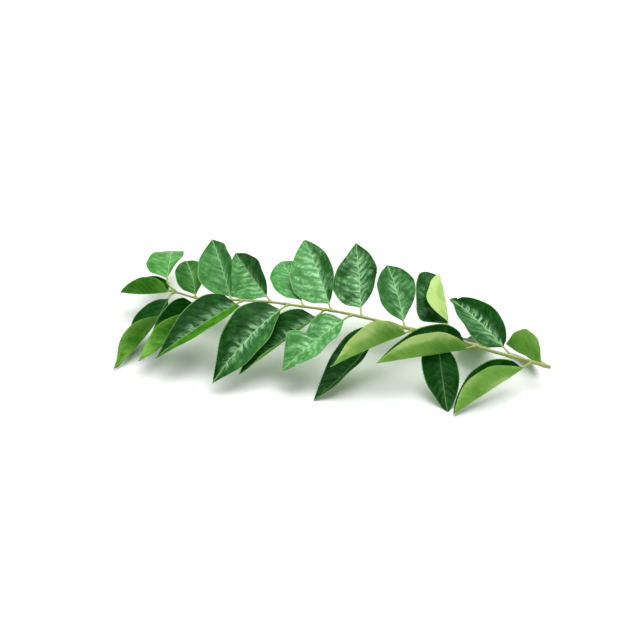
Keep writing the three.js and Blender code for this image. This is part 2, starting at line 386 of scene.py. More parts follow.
@dataclass(frozen=True)
class StemLine:
    """The stem's centre line and girth, in millimetres from its cut end."""

    points: tuple[Point, ...] = (
        (106, 1.5, 9), (94, -1, 12), (79, -3, 15), (61, -3, 18), (42, -5, 20), (21, -4, 21),
        (6, -4, 21.5), (-9, -5, 21.5), (-24, -5.5, 21), (-40, -7.5, 20), (-56, -8.5, 18),
        (-66, -6, 17), (-73, -3.8, 16.2),
    )
    radius_cut: float = 0.82
    radius_tip: float = 0.45
    steps: int = 60
    tangent_reach: float = 0.4
    line: np.ndarray = field(init=False, compare=False)
    far: np.ndarray = field(init=False, compare=False)

    def __post_init__(self) -> None:
        """Draws the line once, as a dense row of points with their distances."""
        p = [np.array(point, float) for point in self.points]
        p = [2 * p[0] - p[1], *p, 2 * p[-1] - p[-2]]
        share = np.linspace(0, 1, self.steps, endpoint=False)[:, None]
        runs = []
        for p0, p1, p2, p3 in zip(p, p[1:], p[2:], p[3:]):
            t0 = 0.0
            t1 = t0 + np.linalg.norm(p1 - p0) ** 0.5
            t2 = t1 + np.linalg.norm(p2 - p1) ** 0.5
            t3 = t2 + np.linalg.norm(p3 - p2) ** 0.5
            t = t1 + (t2 - t1) * share
            a1 = (t1 - t) / (t1 - t0) * p0 + (t - t0) / (t1 - t0) * p1
            a2 = (t2 - t) / (t2 - t1) * p1 + (t - t1) / (t2 - t1) * p2
            a3 = (t3 - t) / (t3 - t2) * p2 + (t - t2) / (t3 - t2) * p3
            b1 = (t2 - t) / (t2 - t0) * a1 + (t - t0) / (t2 - t0) * a2
            b2 = (t3 - t) / (t3 - t1) * a2 + (t - t1) / (t3 - t1) * a3
            runs.append((t2 - t) / (t2 - t1) * b1 + (t - t1) / (t2 - t1) * b2)
        line = np.vstack([*runs, p[-2]])
        far = np.concatenate([[0], np.cumsum(np.linalg.norm(np.diff(line, axis=0), axis=1))])
        object.__setattr__(self, "line", line)
        object.__setattr__(self, "far", far)

    @property
    def length(self) -> float:
        """The line's length."""
        return float(self.far[-1])

    def point(self, at: float | np.ndarray) -> np.ndarray:
        """The centre at a distance from the cut end."""
        return np.stack([np.interp(at, self.far, self.line[:, k]) for k in range(3)], axis=-1)

    def tangent(self, at: float) -> np.ndarray:
        """The unit direction towards the tip.

        Args:
            at: The distance from the cut end.

        Returns:
            The direction.
        """
        tipward, footward = at + self.tangent_reach, at - self.tangent_reach
        ahead = self.point(min(tipward, self.length)) - self.point(max(footward, 0.0))
        return ahead / np.linalg.norm(ahead)

    def radius(self, at: float | np.ndarray) -> np.ndarray:
        """The plain radius at a distance from the cut end."""
        share = np.clip(np.asarray(at) / self.length, 0, 1)
        return self.radius_cut + (self.radius_tip - self.radius_cut) * share


# ---- Leaflets' places and forms ---------------------------------------------------------


@dataclass(frozen=True)
class Bite:
    """A notch eaten out of one half's margin: where, how long and how deep, in shares."""

    half: Half
    at: float
    span: float
    depth: float


@dataclass(frozen=True)
class Leaf:
    """One leaflet's place, pose, outline and colouring, in millimetres and degrees.

    The leaflet leaves the stem at a distance from its cut end. The pose is measured as in
    the frame's own part: turn from the stem's tipward direction, rise above level, roll
    about the midrib, and fold of both halves into a V. From the blade's base to its tip,
    sweep is added to the turn, droop taken off the rise, twist added to the roll and close
    to the fold. stalk is the stalk's length, and stalk_turn and stalk_rise aim its foot.

    The blade is widest at the share belly of its length, moved by skew on the footward half.
    A larger taper points its tip, and lobe widens the tipward half and narrows the other.
    tip_half and foot_half draw a half point by point instead, as pairs of share and width.
    curl turns the margins up, and wave is the height of their ripples.

    light, bloom, sheen and warmth of the upper skin give the tipward half first. light is how
    light the green is: partly the leaflet's own colour, partly painted light and shade on each
    half of the fold. bloom and sheen lay on painted sheen, a broad mottled field and a
    feathered band beside the midrib. pale is for the underside, with patch for a painted
    highlight on it: how far along, how far out and how much paler. relief scales the quilted
    pads.
    """

    at: float
    turn: float = 60
    rise: float = 0
    roll: float = 0
    length: float = 42
    width: float = 20
    fold: float = 15
    droop: float = 15
    sweep: float = 0
    twist: float = 0
    close: float = 0
    belly: float = 0.4
    taper: float = 1
    lobe: float = 0.1
    skew: float = 0
    stalk: float = 4
    stalk_turn: float | None = None
    stalk_rise: float = 0
    curl: float = 10
    wave: float = 0.38
    # How light the green is on each half: partly own colour, partly painted light and shade.
    light: Pair = (0, 0)
    # This and the next are strengths of painted sheen on each half: a broad mottled field, then a
    # feathered band beside the midrib.
    painted_sheen: Pair = (0, 0)
    sheen: Pair = (0, 0)
    warmth: Pair = (0, 0)
    pale: float = 0.4
    # A painted highlight on the underside: how far along, how far out, how much paler.
    painted_highlight: Point = (0.5, 0.5, 0)
    relief: float = 1
    bites: tuple[Bite, ...] = ()
    tip_half: tuple[Pair, ...] = ()
    foot_half: tuple[Pair, ...] = ()


FRONT_6_TIPWARD = (
    (0, 0), (0.05, 4), (0.12, 7.5), (0.2, 8.9), (0.3, 8.7), (0.4, 7.1), (0.455, 6.1),
    (0.475, 6.2), (0.49, 7.8), (0.53, 9.4), (0.61, 11.4), (0.65, 11), (0.72, 8.8), (0.85, 4.6),
    (1, 0),
)
BACK_4_TIPWARD = (
    (0, 0), (0.02, 7), (0.05, 11), (0.1, 13), (0.2, 13.7), (0.4, 13.8), (0.6, 13.4), (0.8, 11.6),
    (0.9, 9), (0.96, 5.5), (1, 0),
)
BACK_4_FOOTWARD = (
    (0, 0), (0.04, 2.4), (0.07, 5.7), (0.12, 9.8), (0.2, 12.2), (0.25, 12.4), (0.4, 11.3),
    (0.57, 8.8), (0.77, 5.3), (0.94, 1.2), (1, 0),
)

FRONT_ROW = (
    Leaf(
        at=9.5, turn=41.5, rise=-14, roll=16, length=39.5, width=23, fold=70, droop=0, twist=28,
        belly=0.5, taper=0.9, lobe=0, painted_highlight=(0.35, 0.1, 0.5),
    ),
    Leaf(
        at=35, turn=38, rise=1, roll=18, length=43, width=24, fold=72, droop=0, twist=20,
        stalk=2.5, pale=0.48, painted_highlight=(0.56, 1, 0.75),
    ),
    Leaf(
        at=51, turn=108, rise=-42, length=34, width=17, droop=-18, sheen=(0.1, 0.1),
    ),
    Leaf(
        at=63.5, turn=50, rise=1, roll=38, length=41.5, width=22, fold=60, droop=8, twist=16,
        belly=0.38, taper=1.3, lobe=0, stalk=2.5, pale=0.58, painted_highlight=(0.6, 0.6, 0.25),
    ),
    Leaf(
        at=75, turn=66, rise=-40, roll=8, length=45, fold=35, droop=-30, painted_sheen=(0.1, 0.1),
        sheen=(0.1, 0.1),
    ),
    Leaf(
        at=92, turn=62, rise=-10, roll=-6, length=38.5, fold=22, droop=12, belly=0.5, taper=0.8,
        lobe=0, light=(0.95, 0.95), painted_sheen=(1.1, 1.1), sheen=(0.6, 0.4),
        bites=(Bite(Half.FOOTWARD, 0.86, 0.03, 0.3),), tip_half=FRONT_6_TIPWARD,
    ),
    Leaf(
        at=105, turn=52, rise=-18, roll=14, length=45, width=19, fold=38, droop=1, lobe=0.27,
        stalk_rise=-30, light=(0, 0.5), sheen=(0.75, 0.05), warmth=(0, 0.7),
    ),
    Leaf(
        at=122, turn=69, rise=-3.5, roll=1, length=50, width=23, fold=22, droop=30, sweep=0.5,
        twist=-33, close=-0.5, taper=1.15, lobe=0.12, skew=0.06, stalk=3.9, light=(0, 0.36),
        painted_sheen=(0.1, 0.2), sheen=(0.8, 1),
    ),
    Leaf(
        at=144, turn=55.5, rise=-2.5, roll=-1, length=48.5, width=21.5, fold=29.5, droop=16,
        sweep=-2, twist=-3.5, close=-15.5, belly=0.37, taper=1.21, lobe=0.11, skew=-0.1,
        stalk=2.3, wave=0.1, light=(0, 0.45), sheen=(0.65, 0), warmth=(0, 0.9), pale=0.25,
    ),
    Leaf(
        at=164, turn=89.5, rise=-24, roll=-21.5, length=43.5, width=21, fold=42, droop=-25.5,
        sweep=-18, twist=122.5, close=46, belly=0.37, taper=1.02, lobe=0.07, skew=0.02, stalk=2.9,
        wave=0.1, pale=0.2,
    ),
    Leaf(
        at=180, turn=110.5, rise=-18.5, roll=-17, length=46.5, width=22, fold=8.5, droop=-0.5,
        sweep=-28, twist=143, close=51.5, belly=0.47, taper=1.38, lobe=0.08, skew=0.02, stalk=4.4,
        pale=0.27,
    ),
)

BACK_ROW = (
    Leaf(
        at=3, turn=55.5, rise=-10.5, roll=-70, length=28, width=19.5, fold=26, droop=4, sweep=2,
        twist=1.5, close=-4.5, belly=0.44, taper=0.97, lobe=0.23, skew=0.06, stalk=1.5,
        light=(0.3, 0.3), painted_sheen=(0.3, 0.3), sheen=(0.3, 0.3),
    ),
    Leaf(
        at=18, turn=48, rise=15, roll=10, length=40.5, width=21, droop=16, sweep=-1, twist=-6.5,
        close=24, belly=0.38, taper=0.9, lobe=0.11, skew=0.05, stalk=5.6, light=(0.2, 0),
        painted_sheen=(0.35, 0), sheen=(0.6, 1.2),
        bites=(Bite(Half.TIPWARD, 0.94, 0.03, 0.5), Bite(Half.FOOTWARD, 0.91, 0.025, 0.35)),
    ),
    Leaf(
        at=33.5, turn=76, rise=-25, roll=3, length=36, width=18, fold=10, droop=14,
        stalk_rise=-20, light=(0.2, 0.2), painted_sheen=(0.3, 0.3), sheen=(0.2, 0.2),
    ),
    Leaf(
        at=46, turn=72, rise=22, roll=72.5, length=35.5, width=26, fold=69, droop=25.5,
        sweep=-2.5, twist=-19.5, close=12, belly=0.44, taper=0.5, lobe=0.08, skew=-0.14, stalk=8,
        painted_sheen=(0.35, 0.2), sheen=(0.2, 0.2), pale=1, tip_half=BACK_4_TIPWARD,
        foot_half=BACK_4_FOOTWARD,
    ),
    Leaf(
        at=67, turn=66.5, rise=16.5, roll=1, length=40.5, width=20.5, fold=24.5, droop=13.5,
        sweep=-7.5, twist=-5.5, close=-0.5, belly=0.43, taper=1.03, lobe=0.09, skew=0.07,
        stalk=3.1, light=(0.4, 0.35), painted_sheen=(0.3, 0.5), sheen=(0.7, 0.6),
    ),
    Leaf(
        at=87.5, turn=69.5, rise=23, roll=18, length=38.5, width=22, fold=14.5, droop=2.5,
        sweep=-4.5, twist=2, close=-1, belly=0.42, taper=1.08, lobe=0.14, skew=0.01, stalk=4.8,
        light=(0.3, 0.2), painted_sheen=(0.9, 0.6), sheen=(0.8, 0.9),
    ),
    Leaf(
        at=102, turn=58.5, rise=23.5, roll=21.5, length=41, width=21.5, fold=13, droop=9.5,
        sweep=-5.5, twist=1, close=-6, belly=0.45, taper=0.92, lobe=0.31, skew=0.02, stalk=3.4,
        wave=0.1, light=(0.9, 0.32), painted_sheen=(1.1, 0.5), sheen=(0.6, 0.8),
    ),
    Leaf(
        at=115, rise=8, roll=10, length=40, fold=20, droop=20, curl=0, wave=0.1, light=(1, 1),
        painted_sheen=(0.6, 0.6), sheen=(0.4, 0.4),
    ),
    Leaf(
        at=131, turn=48.5, rise=5.5, roll=37, length=39.5, width=23, fold=26.5, droop=2, sweep=4,
        twist=4.5, close=-7.5, belly=0.46, taper=1.04, lobe=0.3, skew=-0.02, stalk=3.6,
        light=(0.85, 0.15), painted_sheen=(0.9, 0.1), sheen=(0.6, 0.5), relief=0.5,
    ),
    Leaf(
        at=149.5, turn=63, rise=17, roll=32, length=40, width=22.5, fold=42.5, droop=5, sweep=-4,
        twist=-10.5, close=-2.5, taper=1.05, lobe=0.17, skew=0.01, stalk=1.5, light=(0.7, 0.65),
        painted_sheen=(0.35, 0.3), sheen=(0.4, 1.2), relief=0.5,
    ),
    Leaf(
        at=168, turn=50, rise=6, roll=18, length=32.5, width=17.25, fold=37.5, droop=11,
        sweep=-12, twist=-15.5, close=-5.5, belly=0.41, taper=0.84, lobe=0.08, skew=-0.1,
        stalk=1.7, light=(0.3, 0.5), painted_sheen=(0.1, 0.1), sheen=(0.4, 0.4), warmth=(0.35, 0.35),
        relief=0.5,
    ),
    Leaf(
        at=182, turn=54.5, rise=12.5, roll=-5.5, length=47, width=17.25, fold=4.5, droop=52.5,
        sweep=-9, twist=4, close=-7, belly=0.31, taper=1.12, lobe=0.28, skew=0.23, stalk=8,
        stalk_turn=-5, stalk_rise=30, light=(0.76, 0.76), painted_sheen=(0.5, 0.5), sheen=(0.3, 0.2),
        warmth=(0.3, 0.3), relief=0.6,
    ),
)

END_LEAF = Leaf(
    at=184, turn=18, rise=-20, roll=45, length=26, width=18.75, fold=60, droop=-16, twist=-44.5,
    close=2.5, belly=0.44, taper=0.76, lobe=0.01, skew=-0.03, stalk=1.5, light=(0.2, 0.3),
    warmth=(0.8, 0.8), pale=0.12,
)


# ---- Finishes ---------------------------------------------------------------------------


def tint(red: int, green: int, blue: int) -> Colour:
    """A display colour as the linear colour that shaders take.

    Args:
        red: Its red part, 0 to 255.
        green: Its green part.
        blue: Its blue part.

    Returns:
        The linear colour, opaque.
    """
    parts = [c / 255 for c in (red, green, blue)]
    linear = [c / 12.92 if c <= 0.04045 else ((c + 0.055) / 1.055) ** 2.4 for c in parts]
    return (*linear, 1.0)


def new_material(name: str) -> tuple[Material, Wiring]:
    """Starts a material with an empty tree.

    Args:
        name: The material's name.

    Returns:
        The material and its tree's wiring.
    """
    material = bpy.data.materials.new(name)
    material.use_nodes = True
    material.node_tree.nodes.clear()
    return material, Wiring(material.node_tree)


def end_material(wire: Wiring, surface: Output) -> None:
    """Leads a shader to the material's output."""
    wire.node("ShaderNodeOutputMaterial", {"Surface": surface})


def build_veins() -> None:
    """Makes the pattern of veins, pads between them, streaks, margin and oil glands, and the fade
    of the painted sheen towards the tip.
    """
    names = ("Veins", "Net", "Pads", "Streaks", "Midrib", "Margin", "Glands", "Side", "Far")
    wire, given, result = new_tree(
        Pattern.VEINS.value,
        "ShaderNodeTree",
        [Socket("Pairs", VEIN_PAIRS), Socket("Slope", VEIN_SLOPE), Socket("Width", 0.1)],
        [Socket(name) for name in names],
    )
    get = given.outputs
    sheet = wire.stored("sheet")
    t, q, _ = wire.split(wire.stored("blade"))
    _, across, offset = wire.split(sheet)
    side = wire.math("ABSOLUTE", q)
    count, near = vein_field(wire, t, q, sheet, get["Pairs"], get["Slope"])
    inner = wire.ramp(side, 0.8, 0.97, (1.0, 0.0))
    width = wire.times(get["Width"], wire.less(1.0, wire.times(side, 0.5)))
    streaks = wire.noise(wire.join(count, wire.times(q, 0.4), offset), 5.5, 3.0, 0.65)
    net = wire.cells(sheet, 1.1, "DISTANCE_TO_EDGE")
    dots = wire.cells(sheet, 0.8, "F1")
    made = (
        wire.times(wire.ramp(near, 0.0, width, (1.0, 0.0)), inner),
        wire.ramp(net, 0.0, 0.09, (1.0, 0.0)),
        wire.times(wire.ramp(near, 0.05, 0.4), inner),
        wire.ramp(streaks, 0.36, 0.64),
        wire.ramp(wire.math("ABSOLUTE", across), 0.08, 0.3, (1.0, 0.0)),
        wire.ramp(side, 0.965, 0.99),
        wire.ramp(dots, 0.06, 0.16, (1.0, 0.0)),
        side,
        # Far fades the painted sheen towards the tip.
        wire.ramp(t, 0.6, 1.0, (1.0, 0.35)),
    )
    for name, socket in zip(names, made):
        wire.feed(result.inputs[name], socket)


def build_grain() -> None:
    """Makes the cloudy and fine unevenness of a plant's skin."""
    wire, given, result = new_tree(
        Pattern.GRAIN.value,
        "ShaderNodeTree",
        [Socket("Cloud size", 0.2), Socket("Grain size", 3.0)],
        [Socket("Clouds"), Socket("Grain")],
    )
    sheet = wire.stored("sheet")
    clouds = wire.noise(sheet, given.outputs["Cloud size"], 3.0, 0.6)
    wire.feed(result.inputs["Clouds"], wire.ramp(clouds, 0.3, 0.7))
    wire.feed(result.inputs["Grain"], wire.noise(sheet, given.outputs["Grain size"], 3.0, 0.65))


@dataclass(frozen=True)
class LeafFinish:
    """What both skins of a leaflet share: patterns, gloss and the light they let through."""

    name: str
    vein_width: float
    cloud_size: float
    grain_size: float
    unevenness: float
    bump: float
    bump_depth: float
    specular: float
    glow: Colour
    through: float

    def build(self) -> Material:
        """Makes the material: a plant skin with some light passing through the blade.

        Returns:
            The finished material.
        """
        material, wire = new_material(self.name)
        veins = place_group(wire, Pattern.VEINS, {"Width": self.vein_width})
        sizes = {"Cloud size": self.cloud_size, "Grain size": self.grain_size}
        grain = place_group(wire, Pattern.GRAIN, sizes)
        colour, rough, height = self.layers(wire, veins, grain)
        bump = wire.bump(self.bump, self.bump_depth, height)
        skin = wire.first(
            "ShaderNodeBsdfPrincipled",
            {
                "Base Color": colour,
                "Roughness": rough,
                "Normal": bump,
                "Specular IOR Level": self.specular,
            },
        )
        passing = wire.first("ShaderNodeBsdfTranslucent", {"Color": self.glow, "Normal": bump})
        both = wire.first("ShaderNodeMixShader", {0: self.through, 1: skin, 2: passing})
        end_material(wire, both)
        return material

    def uneven(self, wire: Wiring, grain: Outputs) -> Output:
        """The clouds of the grain pattern as an unevenness about 0."""
        return wire.times(wire.less(grain["Clouds"], 0.5), self.unevenness)

    def layers(
        self, wire: Wiring, veins: Outputs, grain: Outputs
    ) -> tuple[Output, Output, Output]:
        """Lays the skin's colours over each other.

        Args:
            wire: The material's wiring.
            veins: The vein pattern's outputs.
            grain: The grain pattern's outputs.

        Returns:
            The skin's colour, its roughness and its fine relief.
        """
        raise NotImplementedError


@dataclass(frozen=True)
class UpperFinish(LeafFinish):
    """The glossy upper skin of a leaflet: deep green with painted pale sheen that follows the
    veins.
    """

    name: str = "leaf_upper"
    vein_width: float = 0.08
    cloud_size: float = 0.2
    grain_size: float = 0.9
    unevenness: float = 0.35
    bump: float = 0.35
    bump_depth: float = 0.00012
    specular: float = 0.05
    glow: Colour = tint(50, 200, 16)
    through: float = 0.07
    dark: Colour = tint(0, 55, 1)
    light: Colour = tint(64, 134, 60)
    fresh: Colour = tint(86, 162, 16)
    # The colour of the painted sheen.
    painted_sheen: Colour = tint(168, 222, 168)
    vein: Colour = tint(110, 168, 84)
    midrib: Colour = tint(156, 200, 122)
    vein_share: float = 0.12
    net_share: float = 0.04
    margin_share: float = 0.5

    def layers(
        self, wire: Wiring, veins: Outputs, grain: Outputs
    ) -> tuple[Output, Output, Output]:
        """Lays painted sheen, veins, midrib and margin over the green.

        Args:
            wire: The material's wiring.
            veins: The vein pattern's outputs.
            grain: The grain pattern's outputs.

        Returns:
            The skin's colour, its roughness and its fine relief.
        """
        light, painted_sheen, sheen = wire.split(wire.stored("tone"))
        green = wire.blend(wire.stored("warmth", "Fac"), self.light, self.fresh)
        # How light the green is: partly the leaflet's own colour, partly painted light and shade
        # on each half of the fold.
        level = wire.plus(light, self.uneven(wire, grain), clamp=True)
        colour = wire.blend(level, self.dark, green)

        # Painted sheen: a pale colour laid on where the glossy skin would mirror the lamp, as a
        # feathered band beside the midrib and a broad mottled field, kept off the veins and fading
        # towards the tip.
        band = wire.ramp(veins["Side"], 0.02, 0.5, (1.0, 0.0))
        padded = wire.plus(wire.times(veins["Pads"], 0.7), 0.3)
        sheen_feather = wire.times(wire.times(wire.times(band, veins["Streaks"]), padded), sheen)
        sheen_mottle = wire.times(wire.ramp(grain["Grain"], 0.22, 0.8), grain["Clouds"])
        sheen_mottle = wire.times(wire.times(sheen_mottle, padded), painted_sheen)
        painted_sheen_share = wire.math("MULTIPLY", wire.plus(sheen_feather, sheen_mottle), veins["Far"], clamp=True)
        furrows = wire.less(1.0, wire.times(veins["Veins"], 0.5))
        colour = wire.blend(wire.times(painted_sheen_share, furrows), colour, self.painted_sheen)

        lines = wire.times(veins["Veins"], self.vein_share)
        lines = wire.plus(lines, wire.times(veins["Net"], self.net_share))
        colour = wire.blend(lines, colour, self.vein)
        # The pale midrib shows more where the painted light and sheen are stronger.
        shown = wire.ramp(wire.math("MAXIMUM", light, sheen), 0.0, 0.8, (0.3, 0.66))
        margin = wire.times(veins["Margin"], self.margin_share)
        pale = wire.math("MAXIMUM", wire.times(veins["Midrib"], shown), margin)
        colour = wire.blend(pale, colour, self.midrib)

        rough = wire.ramp(grain["Clouds"], 0.0, 1.0, (0.3, 0.44))
        height = wire.times(grain["Grain"], 0.4)
        height = wire.less(height, wire.times(veins["Net"], 0.35))
        return colour, rough, wire.less(height, wire.times(veins["Veins"], 0.5))


@dataclass(frozen=True)
class UnderFinish(LeafFinish):
    """The dull, paler underside of a leaflet, with painted highlights towards its margins and in
    one place.
    """

    name: str = "leaf_under"
    vein_width: float = 0.1
    cloud_size: float = 0.12
    grain_size: float = 3.4
    unevenness: float = 0.3
    bump: float = 0.4
    bump_depth: float = 0.0001
    specular: float = 0.14
    glow: Colour = tint(170, 240, 60)
    through: float = 0.3
    deep: Colour = tint(46, 132, 2)
    green: Colour = tint(136, 196, 78)
    pale: Colour = tint(212, 244, 146)
    vein: Colour = tint(176, 214, 118)
    gland: Colour = tint(40, 92, 24)
    vein_share: float = 0.22
    net_share: float = 0.1
    midrib_share: float = 0.7
    margin_share: float = 0.45
    gland_share: float = 0.75

    def layers(
        self, wire: Wiring, veins: Outputs, grain: Outputs
    ) -> tuple[Output, Output, Output]:
        """Lays the pale colour with its painted highlights, veins and oil glands over the green.

        Args:
            wire: The material's wiring.
            veins: The vein pattern's outputs.
            grain: The grain pattern's outputs.

        Returns:
            The skin's colour, its roughness and its fine relief.
        """
        paleness = wire.stored("paleness", "Fac")
        # Painted light and shade: the underside is drawn darker near the midrib and paler towards
        # the margins.
        outward = wire.times(wire.ramp(veins["Side"], 0.4, 1.0, (-0.14, 0.5)), paleness)
        level = wire.plus(wire.plus(paleness, self.uneven(wire, grain)), outward)
        colour = wire.blend(wire.ramp(level, 0.0, 0.5), self.deep, self.green)
        colour = wire.blend(wire.ramp(level, 0.45, 1.0), colour, self.pale)

        lines = wire.times(veins["Veins"], self.vein_share)
        lines = wire.plus(lines, wire.times(veins["Net"], self.net_share))
        lines = wire.math("MAXIMUM", lines, wire.times(veins["Midrib"], self.midrib_share))
        lines = wire.math("MAXIMUM", lines, wire.times(veins["Margin"], self.margin_share))
        colour = wire.blend(lines, colour, self.vein)
        specks = wire.times(veins["Glands"], wire.ramp(grain["Grain"], 0.45, 0.7))
        colour = wire.blend(wire.times(specks, self.gland_share), colour, self.gland)

        rough = wire.ramp(grain["Grain"], 0.2, 0.8, (0.52, 0.66))
        return colour, rough, wire.plus(grain["Grain"], wire.times(veins["Net"], 0.5))


@dataclass(frozen=True)
class StemFinish:
    """The green-brown bark of the stem and of the leaflets' stalks."""

    name: str
    green: Colour = tint(164, 182, 108)
    brown: Colour = tint(130, 112, 62)
    cut: Colour = tint(186, 184, 136)
    brownness: float = 0.5
    cut_end: bool = True
    cloud_size: float = 0.14
    grain_size: float = 4.0
    streak_share: float = 0.35
    bump: float = 0.5
    bump_depth: float = 0.0001
    specular: float = 0.35

    def build(self) -> Material:
        """Makes the material.

        Returns:
            The finished material.
        """
        material, wire = new_material(self.name)
        sizes = {"Cloud size": self.cloud_size, "Grain size": self.grain_size}
        grain = place_group(wire, Pattern.GRAIN, sizes)
        fine = grain["Grain"]
        streaks = wire.times(wire.ramp(fine, 0.35, 0.75), self.streak_share)
        browning = wire.plus(wire.times(grain["Clouds"], self.brownness), streaks, clamp=True)
        colour = wire.blend(browning, self.green, self.brown)
        if self.cut_end:
            along, _, _ = wire.split(wire.stored("sheet"))
            colour = wire.blend(wire.ramp(along, 0.05, 0.5, (0.8, 0.0)), colour, self.cut)
        skin = wire.first(
            "ShaderNodeBsdfPrincipled",
            {
                "Base Color": colour,
                "Roughness": wire.ramp(fine, 0.2, 0.8, (0.5, 0.68)),
                "Normal": wire.bump(self.bump, self.bump_depth, fine),
                "Specular IOR Level": self.specular,
            },
        )
        end_material(wire, skin)
        return material


@dataclass(frozen=True)
class PoreFinish:
    """The pale pores on the stem."""

    name: str = "stem_pore"
    pale: Colour = tint(158, 172, 108)
    brown: Colour = tint(128, 120, 70)
    grain_size: float = 4000.0
    roughness: float = 0.7

    def build(self) -> Material:
        """Makes the material.

        Returns:
            The finished material.
        """
        material, wire = new_material(self.name)
        where = wire.node("ShaderNodeTexCoord").outputs["Object"]
        fine = wire.noise(where, self.grain_size)
        colour = wire.blend(wire.times(fine, 0.5), self.pale, self.brown)
        feeds = {"Base Color": colour, "Roughness": self.roughness}
        end_material(wire, wire.first("ShaderNodeBsdfPrincipled", feeds))
        return material


# ---- Meshes -----------------------------------------------------------------------------


def new_piece(name: str, mesh: bpy.types.Mesh) -> Piece:
    """Puts a mesh in the scene as an object at the origin.

    Args:
        name: The object's name.
        mesh: Its mesh.

    Returns:
        The object.
    """
    piece = bpy.data.objects.new(name, mesh)
    bpy.context.scene.collection.objects.link(piece)
    return piece


def add_values(mesh: bpy.types.Mesh, name: str, values: np.ndarray, kind: str = "POINT") -> None:
    """Stores numbers, whole numbers or vectors on a mesh.

    Args:
        mesh: The mesh.
        name: The attribute's name.
        values: One row for each point or face.
        kind: "POINT" or "FACE".
    """
    if values.ndim == 2:
        made = mesh.attributes.new(name, "FLOAT_VECTOR", kind)
        made.data.foreach_set("vector", values.astype(np.float32).ravel())
    elif values.dtype.kind == "i":
        made = mesh.attributes.new(name, "INT", kind)
        made.data.foreach_set("value", values.astype(np.int32))
    else:
        made = mesh.attributes.new(name, "FLOAT", kind)
        made.data.foreach_set("value", values.astype(np.float32))


def run_tree(piece: Piece, tree: Tree, settings: dict[str, Feed]) -> None:
    """Runs a Geometry Nodes tree on a piece and keeps its result as a plain mesh.

    Args:
        piece: The object with the starting mesh.
        tree: The tree.
        settings: Values for the tree's inputs, by name.
    """
    modifier = piece.modifiers.new(tree.name, "NODES")
    modifier.node_group = tree
    sockets = {
        item.name: item.identifier
        for item in tree.interface.items_tree
        if item.item_type == "SOCKET" and item.in_out == "INPUT"
    }
    for name, value in settings.items():
        modifier[sockets[name]] = value
    piece.update_tag()
    graph = bpy.context.evaluated_depsgraph_get()
    plain = bpy.data.meshes.new_from_object(piece.evaluated_get(graph), depsgraph=graph)
    plain.name = piece.name
    # The starting mesh has no material, which leaves an empty slot before the tree's own.
    if plain.materials[0] is None:
        plain.materials.pop(index=0)
    piece.modifiers.clear()
    old, piece.data = piece.data, plain
    bpy.data.meshes.remove(old)
    plain.shade_smooth()


def declare(piece: Piece, node: str) -> None:
    """Rides a piece on the sprig's one body and hides the node that it replaces.

    Args:
        piece: The finished piece.
        node: The node that it replaces.
    """
    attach(piece, "root")
    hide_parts(node)


# ---- Geometry Nodes trees ---------------------------------------------------------------


